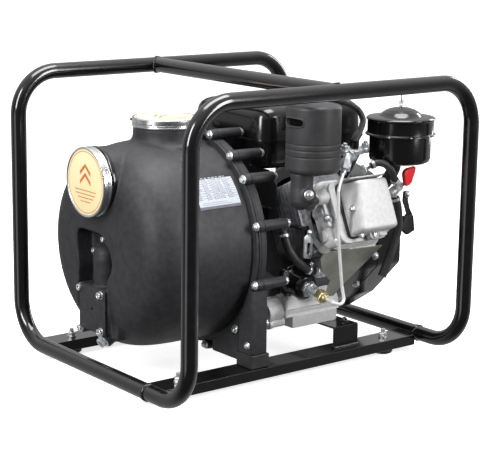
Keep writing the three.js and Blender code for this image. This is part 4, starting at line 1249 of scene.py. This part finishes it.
def rocker_cover():
    """A cast box whose -X side slopes: steeply at the top corner, not at the bottom one."""
    levels = [
        (244, 0, 1.0), (244.8, 0, 0), (248.6, 0.5, 0), (249.4, 0.8, 1.2), (262, 10, 1.8),
        (272, 17, 2.4), (275.5, 19, 3.4), (277.7, 20, 5.2), (278.8, 21, 7.6), (279, 22, 11),
    ]
    rings = []
    for height, slope, inset in levels:
        outline = rounded([
            (88 + inset, -49.5 + inset), (181.5 - inset, -49.5 + inset),
            (182.5 - inset, 49.5 - inset), (89 + slope + inset, 49.5 - inset),
        ], 8, 8)
        rings.append([HEAD_FRAME @ Vector((*p, height)) for p in outline])
    lug = prism(rectangle(124, 146, -60, -42, 8), 244, 256, HEAD_FRAME, 2.0)
    rib = prism(rectangle(150, 170, -56, -46, 4), 244, 252, HEAD_FRAME, 1.5)
    return [loft(rings), lug, rib]


# ---------------------------------------------------------------- exhaust and intake
def muffler_slot(radius, grow):
    """The outlet slot's outline on the can, as points at a radius from the can's axis."""
    half_arc, half_high = 22.0 + grow, 6.6 + grow
    points = []
    for turn in turns(48):
        across = half_arc * math.copysign(abs(math.cos(turn)) ** 0.5, math.cos(turn))
        rise = half_high * math.copysign(abs(math.sin(turn)) ** 0.7, math.sin(turn))
        angle = SLOT_TURN + across / MUFFLER_R
        points.append(Vector((
            MUFFLER_X + radius * math.cos(angle), MUFFLER_Y + radius * math.sin(angle), SLOT_Z + rise,
        )))
    return points


def build_muffler():
    low, high = MUFFLER_Z
    r = MUFFLER_R
    axis = Vector((MUFFLER_X, MUFFLER_Y, 0))
    profile = [(0, low), (r - 5, low), (r - 1, low + 4), (r, low + 8)]
    for groove in (377, 389, 399):
        profile += [(r, groove - 2), (r - 0.7, groove - 0.8), (r - 0.7, groove + 0.8), (r, groove + 2)]
    profile += [
        (r, high - 6), (r - 1, high - 3), (r - 5, high), (r - 9, high + 0.6), (24, high + 1),
        (19, high + 3.5), (8, high + 5.4), (0, high + 5.8),
    ]
    can = soft_lathe(profile, axis, Z, 1.0, 128)
    slot = loft([muffler_slot(r - 9, 0), muffler_slot(r + 6, 0)])
    piece("muffler_can", "matt_black", combined([can], cuts=[slot]), ["muffler"], angle=38)
    floor = loft([muffler_slot(r - 8.4, -0.4), muffler_slot(r - 5, -0.4)])
    piece("muffler_slot_floor", "matt_black", [floor], material=SHADOW)
    lip = closed_tube(muffler_slot(r + 0.3, 1.2), 1.5, 12)
    button = rod(axis + Z * (high + 4), axis + Z * (high + 5.9), 6, 24, 0.6)
    piece("muffler_slot_lip", "matt_black", [lip, button], angle=60)


def build_elbow():
    x = MUFFLER_X - 24
    seat = in_head(29.4, 33, 226)
    heights, radii = zip(
        (280.5, 3), (283, 11), (288, 18), (296, 21.5), (306, 21.5), (322, 20), (346.6, 20.5),
    )
    riser = tube([(x, MUFFLER_Y, z) for z in heights], radii, 48)
    branch = rod_x(x + 2, 29.4, seat.y, seat.z, 16, 40, 1)
    bolt_at = Vector((-2, -190.5, 311))
    facing = Vector((-0.45, -0.87, 0.12)).normalized()
    lobe_at = Vector((8, -182, 305))
    lobes = [
        rod(bolt_at - facing * 16, bolt_at, 13.5, 40, 2.5),
        rod(lobe_at - facing * 10, lobe_at + Vector((6, -4, -14)), 12, 40, 2.5),
    ]
    body = combined([riser], adds=[branch] + lobes, voxel=1.3, smoothing=5)
    piece("exhaust_elbow_cast", "matt_black", body, ["exhaust_elbow"], angle=60)
    piece("exhaust_bolts", "zinc", flange_bolt(bolt_at - facing * 1.2, facing, 11.5), angle=30)


def build_air_cleaner():
    axis = Vector((CLEANER_X, CLEANER_Y, 0))
    bowl = soft_lathe([
        (0, 346), (48, 346), (54, 349), (56.7, 355), (56.7, 396.5), (52, 396.5), (52, 356), (0, 352),
    ], axis, Z, 1.5, 128)
    piece("cleaner_bowl_drawn", "gloss_black", [bowl], ["air_cleaner_bowl"])
    lid = soft_lathe([
        (0, 386), (40, 386), (40, 397), (64, 397), (65, 398.5), (64.4, 400), (61, 401.5), (61, 424),
        (63.4, 426), (63.4, 428.5), (61, 430.4), (52, 431.6), (41, 432.2), (38, 434.5), (33, 439),
        (25, 443.5), (14, 446.8), (0, 448),
    ], axis, Z, 0.9, 128)
    piece("cleaner_lid_drawn", "gloss_black", [lid], ["air_cleaner_lid"])
    rivets = []
    for k in range(5):
        turn = math.radians(208 + 36 * k)
        out = Vector((math.cos(turn), math.sin(turn), 0))
        seat = axis + Z * 398.8 + out * 64.2
        rivets.append(lathe([(0, 0), (1.4, 0), (1.1, 0.9), (0, 1.3)], seat, out, 16))
    piece("cleaner_clip_rivets", "zinc", rivets, angle=60)
    hub = [(0, 448.3), (3.6, 448.3), (3.2, 452), (2.0, 453.5), (0, 453.5)]
    nut = [soft_lathe(hub, axis, Z, 0.5, 32), tube([axis + Z * 453, axis + Z * 471], 1.2, 16)]
    for side in (-1, 1):
        wing = [(1.0, 451), (3.2, 454), (4.2, 458), (3.0, 461)]
        nut.append(tube(smooth_path([axis + X * side * d + Z * h for d, h in wing], 5), 1.0, 12))
    piece("cleaner_wing_nut_bent", "zinc", nut, ["air_cleaner_wing_nut"], angle=45)
    route = smooth_path([
        (232, -160, 342.5), (232, -157, 330), (230, -145, 310), (218, -139, 295), (200, -141, 290),
        (183, -143, 290),
    ], 8)
    piece("intake_pipe_bent", "matt_black", [tube(route, 12, 40)], ["intake_pipe"], angle=50)


# ---------------------------------------------------------------- fuel system
def build_tank():
    lower = [
        (335, 22), (335.6, 15), (337.5, 9), (341, 4), (346, 1), (352, 0), (385.6, 0), (386, -5),
        (387.8, -5),
    ]
    upper = [
        (388.2, -5), (390, -5), (390.4, 0), (426, 1.5), (435, 4), (441, 8), (446, 14), (449, 22),
        (450, 32),
    ]
    filler = Vector((TANK_CAP_X, UNIT_Y, 0))
    shells = [stacked(levels, TANK, 38, WORLD, 12) for levels in (lower, upper)]
    shells.append(soft_lathe([(0, 449), (27, 449), (24.5, 451), (24, 458), (0, 458)], filler, Z, 0.6))
    piece("fuel_tank_shells", "gloss_black", shells, ["fuel_tank"], angle=45)
    cap = [(0, 459), (25.2, 459), (25.2, 451), (31, 451), (31, 468), (29, 472.5), (24, 474.6), (0, 475)]
    cap = [soft_lathe(cap, filler, Z, 0.8)]
    for foot in circle(filler + Z * 453, X, Y, 30.2, 20):
        cap.append(rod(foot, foot + Z * 15, 1.6, 12, 0.8))
    piece("tank_cap_ribbed", "gloss_black", cap, ["tank_cap"], angle=40)


def hose_clamp(at, along, radius, turn=0.0):
    """A spring-wire clamp: a band round the hose with two upturned ears."""
    along = Vector(along).normalized()
    at = Vector(at)
    place = basis(at, along) @ Matrix.Rotation(turn, 4, "Z")
    shells = [ring_of(at - along * 2.6, at + along * 2.6, radius, radius + 1.0, 0.3, 48)]
    for side in (-1, 1):
        foot = place @ Vector((radius, side * 2.2, 0))
        tip = place @ Vector((radius + 6, side * 3.4, 0))
        shells.append(rod(foot, tip, 1.3, 12, 0.4))
    return shells


def on_injection(lift):
    return INJECTION_SEAT + INJECTION_AXIS * lift


def build_injection():
    axis = INJECTION_AXIS
    place = basis(INJECTION_SEAT, axis, X)
    pump = [(0, 0), (32, 0), (32, 8), (27, 10), (25.5, 20), (25, 42), (22, 47), (16, 49), (0, 49)]
    pump = [soft_lathe(pump, INJECTION_SEAT, axis, 1.6, 80)]
    collar = [(0, 54), (13, 54), (13, 60), (10.5, 62), (10.5, 66), (0, 66)]
    fittings = [
        prism(hexagon(27), 47, 56, place, 1.5),
        soft_lathe(collar, INJECTION_SEAT, axis, 0.8, 48),
        soft_lathe([(0, 66), (10, 66), (9, 79), (0, 79)], INJECTION_SEAT, axis, 0.5, 48),
    ]
    for turn in (0.9, 0.9 + PI):
        ear = basis(INJECTION_SEAT, axis, Z) @ Vector((26 * math.cos(turn), 26 * math.sin(turn), 0))
        pump.append(rod(ear, ear + axis * 9, 10.5, 32, 1.5))
        fittings.append(washer(ear + axis * 9, axis, 8))
        fittings.append(hex_nut(ear + axis * 10.6, axis, 12, 6))
    piece("injection_pump_barrel", "gloss_black", pump, ["injection_pump"])
    piece("injection_pump_fittings", "zinc", fittings, angle=30)
    top = on_injection(79.3)
    nut = [
        prism(hexagon(21), 0, 15, basis(top, axis, X), 1.2),
        soft_lathe([(0, 14), (8.6, 14), (8.2, 19), (6, 23), (0, 23)], top, axis, 0.8, 40),
    ]
    piece("injection_nut_hex", "brass", nut, ["injection_nut"], angle=30)
    route = bent_path([
        (46.2, -188, 115.5), (47, -212, 111), (69, -213, 108), (66, -207, 140), (58, -203, 230),
        (57, -201, 316), (84, -184, 343),
    ], 10, 10)
    pipe = [tube(route, 3.0, 24), rod((46.6, -200, 113.2), (46.8, -207, 111.9), 4.6, 24, 0.6)]
    piece("injection_pipe_drawn", "steel", pipe, ["injection_pipe"], material=BRIGHT_TUBE, angle=50)


def build_injector():
    foot = in_head(124, 70, 226)
    neck = Vector((124, -165, 372))
    body = [
        rod((124, foot.y, foot.z), neck, 12, 40, 1.5),
        rod(neck, (124.6, -166.3, 396), 8, 32, 0.8),
    ]
    piece("injector_body", "matt_black", body, material=GLOSS_BLACK)
    # a two-lobed clamp across the injector, waisted between its nuts
    up = (0, -0.2, 0.98)
    place = basis((124, -165, 371), up, X)
    half = [
        (0, 14), (10, 13), (18, 8), (26, 9), (33, 6), (33, -6), (26, -9), (18, -8), (10, -13), (0, -14),
    ]
    outline = rounded(half + [(-x, y) for x, y in reversed(half[1:-1])], 5, 4)
    shells = [prism(outline, 0, 9, place, 1.6)]
    for side in (-1, 1):
        shells += nut_and_stud(place @ Vector((side * 25, 0, 9)), up, 12, 4)
    low, high = Vector((84, -184, 343)), Vector((103, -173, 370))
    line = high - low
    shells += [
        prism(hexagon(17), 0, 22, basis(low + line * 0.1, line, Z), 1.4),
        rod(low + line * 0.6, high, 7.5, 32, 0.8),
        rod(low - line * 0.12, low + line * 0.15, 5, 24, 0.6),
        rod(high, (122, -166, 366), 9, 32, 0.8),
    ]
    piece("injector_clamp", "zinc", shells, ["injector"], angle=30)
    sleeve = tube([(124.6, -166.4, 394), (128, -166.8, 401), (134.5, -167, 408)], 7.6, 28)
    piece("return_hose_sleeve", "rubber", [sleeve], angle=50)


def build_hoses():
    """Four hoses through the points that the CAD gives them, with their clamps and unions."""
    for name, node, radius, sides, route in (
        ("return_hose_bent", "return_hose", 5.5, 28, [
            (125, -166.6, 397), (134, -167, 407), (144, -165, 430), (133, -158, 451),
            (106, -146, 463), (78, -118, 460), (62, -96, 436), (54, -84, 419), (51, -79, 410),
        ]),
        ("feed_hose_bent", "feed_hose", 8, 32, [
            (-2, -122, 234), (-2, -132, 214), (3, -139, 196), (17, -143, 179), (36, -146, 165),
            (47, -148, 159.5),
        ]),
        ("tap_hose_hanging", "tap_hose", 8, 32, [
            (214, -182, 283), (219, -183, 270), (224, -182, 250), (226, -181, 228),
            (222, -180, 205), (211, -179, 178), (202, -177, 152), (194, -175, 134),
        ]),
        ("breather_hose_bent", "breather_hose", 6.5, 28, [
            (148, -184, 347), (158, -191, 353), (172, -198, 350), (186, -200, 336),
            (197, -196, 323), (205, -190, 313),
        ]),
    ):
        piece(name, "rubber", [tube(smooth_path(route), radius, sides)], [node], angle=50)
    clamps = []
    for at, along, radius, turn in (
        ((40, -146.7, 162.8), (11, -2, -5.5), 8.2, 0.4),
        ((201, -193.5, 318), (8, 6, -10), 6.7, 2.0),
        ((153, -187.5, 350.4), (10, -7, 6), 6.7, 1.0),
        ((215.5, -182.3, 279), (4, -1, -13), 8.2, 3.6),
        ((-2.2, -126, 226), (0, -10, -20), 8.2, 2.6),
    ):
        clamps += hose_clamp(at, along, radius, turn)
    piece("hose_clamps", "zinc", clamps, angle=30)
    stub = [
        rod((138, -176, 341), (150, -183.4, 348), 4.6, 24, 0.6),
        prism(hexagon(15), 0, 7, basis((136, -175, 340), (12, -7.4, 7), Z), 1),
    ]
    piece("breather_stub", "zinc", stub, angle=30)
    union = [
        rod((51.5, -148, 158), (74, -149.5, 153), 8.6, 36, 0.8),
        prism(hexagon(19), 5, 17, basis((51.5, -148, 158), (18.5, -1, -4), Z), 1.2),
        rod((64, -156, 157), (60, -127, 161), 6.2, 24, 0.8),
        prism(hexagon(15), 0, 7, basis((64.9, -162, 156.2), (-4, 29, 4), Z), 1.0),
    ]
    piece("feed_union_banjo", "zinc", union, ["feed_union"], angle=30)


def build_tap():
    inlet, outlet = Vector((203, -184, 292)), Vector((230, -178, 302))
    shells = [
        rod(inlet, outlet, 8.2, 40, 1.0),
        rod((199, -185, 290.6), (206, -183.4, 293), 6.2, 32, 0.8),
        rod((219, -180, 298), (219, -180, 316), 6, 32, 0.6),
        prism(hexagon(14), 8, 14, basis((219, -180, 298), Z, X), 0.9),
        rod((220, -180, 297), (230, -184, 308), 6, 32, 0.8),
        rod((212, -181.5, 291), (213.5, -182.3, 283), 4.5, 24, 0.5),
    ]
    for k in range(3):
        at = inlet.lerp(outlet, 0.15 + 0.1 * k)
        shells.append(ring_of(at, at + (outlet - inlet).normalized() * 1.1, 8, 9, 0.3, 40))
    piece("fuel_tap_body", "zinc", shells, ["fuel_tap"], angle=30)
    outline = smooth_outline([
        (-5, -6), (3, -7), (10, -2), (14, 8), (18, 17), (19, 27), (8, 27), (-3, 25), (-10, 18), (-9, 7),
    ], 6)
    place = Matrix.Translation((233, -192, 311)) @ ALONG_Y
    lever = prism(outline, -4.6, 4.6, place, 3.4, 6)
    piece("fuel_tap_grip", "red", [lever], ["fuel_tap_lever"], angle=60)


# ---------------------------------------------------------------- sheet metal and levers
def bright_fold():
    """The bare bent flange that runs down from the fins to the baffle's corner."""
    spine = [(26, -160, 256), (38, -162, 220), (47, -168, 206), (58, -178, 196)]
    spine = rounded(spine, 10, 6, closed=False)
    last = len(spine) - 1
    rings = []
    for i, point in enumerate(spine):
        ahead = (spine[min(i + 1, last)] - spine[max(i - 1, 0)]).normalized()
        across = ahead.cross(Vector((-0.5, -0.8, 0.3))).normalized() * (3.0 + 4.0 * i / last)
        thin = across.cross(ahead).normalized() * 0.8
        rings.append([
            point + across + thin, point - across + thin, point - across - thin, point + across - thin,
        ])
    return loft(rings)


def build_sheet_metal():
    refined("baffle", 0.5)
    piece("baffle_flange", "zinc", [bright_fold()], material=STEEL, angle=40)
    place = Matrix.Translation((26, -157, 211)) @ ALONG_Y
    plate = rounded([(-9, -22), (9, -26), (12, 6), (3, 24), (-9, 16)], 5, 6)
    slot = rounded([(-3, -16), (4, -17), (6, 4), (-2, 6)], 3, 6)
    lever = combined([prism(plate, -1.5, 1.5, place, 0.4)], cuts=[prism(slot, -5, 5, place)])
    piece("stop_lever_slotted", "zinc", lever, ["stop_lever"], bevel=0.3)
    bracket = [
        block((14, 46), (-154.5, -152.5), (206, 246), 5, 0.5),
        block((20, 36), (-154, -112), (238, 241), 3, 0.5),
    ]
    piece("stop_bracket", "gloss_black", bracket)
    pivot = flange_bolt((28, -158.7, 235), -Y, 7)
    piece("stop_pivot", "zinc", pivot, body="stop_lever_body", angle=30)
    place = Matrix.Translation((262, -162, 280)) @ ALONG_Y
    stem = [
        (-7, 7), (7, 7), (4, -10), (10, -28), (18, -41), (12, -60), (0, -60), (-5, -44), (3, -38),
        (-3, -22), (-8, -12),
    ]
    pad = [(-5, -41), (18, -41), (23, -71), (4, -78), (-13, -64)]
    shells = [
        prism(rounded(stem, 3, 5), -1.8, 1.8, place, 0.8),
        prism(rounded(pad, 3, 5), -4.4, 4.4, place, 2.0),
    ]
    piece("throttle_blade", "gloss_black", shells, ["throttle_lever"], material=BLACK_PLASTIC)
    pivot = flange_bolt((262, -164.5, 280), -Y, 8)
    piece("throttle_pivot", "zinc", pivot, body="throttle_lever_body", angle=30)


# ---------------------------------------------------------------- scene
def build_floor():
    mesh = bpy.data.meshes.new("floor")
    half, cells, drop = 40.0, 16, 0.0005
    points = []
    for i in range(cells + 1):
        for j in range(cells + 1):
            points.append((half * (2 * i / cells - 1), half * (2 * j / cells - 1), -drop))
    faces = []
    for i in range(cells):
        for j in range(cells):
            a = i * (cells + 1) + j
            faces.append((a, a + cells + 1, a + cells + 2, a + 1))
    mesh.from_pydata(points, [], faces)
    floor = bpy.data.objects.new("floor", mesh)
    bpy.context.collection.objects.link(floor)
    material, _, _, shader = shader_nodes("pale_floor")
    shader.inputs["Base Color"].default_value = (0.9, 0.9, 0.9, 1)
    shader.inputs["Roughness"].default_value = 0.9
    shader.inputs["Emission Color"].default_value = (1, 1, 1, 1)
    shader.inputs["Emission Strength"].default_value = 0.75
    mesh.materials.append(material)
    floor.visible_glossy = False
    floor.visible_diffuse = False


def area_light(name, place, target, size, power):
    data = bpy.data.lights.new(name, "AREA")
    data.shape = "RECTANGLE"
    data.size, data.size_y = size
    data.energy = power
    lamp = bpy.data.objects.new(name, data)
    lamp.location = place
    lamp.rotation_euler = (Vector(target) - Vector(place)).to_track_quat("-Z", "Y").to_euler()
    bpy.context.collection.objects.link(lamp)


def build_lights():
    world = bpy.data.worlds.new("studio")
    world.use_nodes = True
    background = world.node_tree.nodes["Background"]
    background.inputs["Color"].default_value = (1, 1, 1, 1)
    nodes, links = world.node_tree.nodes, world.node_tree.links
    place = nodes.new("ShaderNodeTexCoord")
    shares = []
    for axis, low, high, strength in ROOM:
        along = nodes.new("ShaderNodeVectorMath")
        along.operation = "DOT_PRODUCT"
        along.inputs[1].default_value = axis
        links.new(place.outputs["Generated"], along.inputs[0])
        share = nodes.new("ShaderNodeMapRange")
        share.interpolation_type = "SMOOTHSTEP"
        share.inputs["From Min"].default_value = low
        share.inputs["From Max"].default_value = high
        share.inputs["To Min"].default_value = ROOM_DARK / len(ROOM)
        share.inputs["To Max"].default_value = strength
        links.new(along.outputs["Value"], share.inputs["Value"])
        shares.append(share)
    total = shares[0].outputs["Result"]
    for share in shares[1:]:
        both = nodes.new("ShaderNodeMath")
        links.new(total, both.inputs[0])
        links.new(share.outputs["Result"], both.inputs[1])
        total = both.outputs["Value"]
    links.new(total, background.inputs["Strength"])
    bpy.context.scene.world = world
    target = (0, 0, 0.28)
    area_light("key_left", (-2.7, -0.5, 1.6), target, (0.7, 1.8), 66)
    area_light("top", (0.0, -0.2, 2.6), target, (1.8, 1.2), 60)
    area_light("front_right", (1.2, -2.9, 1.3), target, (0.8, 1.6), 62)
    area_light("right_strip", (2.6, 0.4, 1.0), target, (0.4, 1.8), 22)


def build_camera():
    data = bpy.data.cameras.new("camera")
    data.sensor_width = SENSOR
    data.lens = CAMERA_LENS
    camera = bpy.data.objects.new("camera", data)
    turn = (
        Matrix.Rotation(math.radians(CAMERA_YAW), 4, "Z")
        @ Matrix.Rotation(math.radians(90 - CAMERA_PITCH), 4, "X")
        @ Matrix.Rotation(math.radians(CAMERA_ROLL), 4, "Z")
    )
    camera.matrix_world = Matrix.Translation(CAMERA_PLACE) @ turn
    bpy.context.collection.objects.link(camera)
    bpy.context.scene.camera = camera


build_frame()
build_casing()
build_adapter()
build_label()
build_ports()
build_front_plate()
build_pump_inside()
build_bracket()
build_crankcase()
build_blower()
build_cylinder()
build_head()
build_muffler()
build_elbow()
build_air_cleaner()
build_tank()
build_injection()
build_injector()
build_hoses()
build_tap()
build_sheet_metal()
build_floor()
build_lights()
build_camera()
bpy.context.scene.view_settings.view_transform = "Standard"
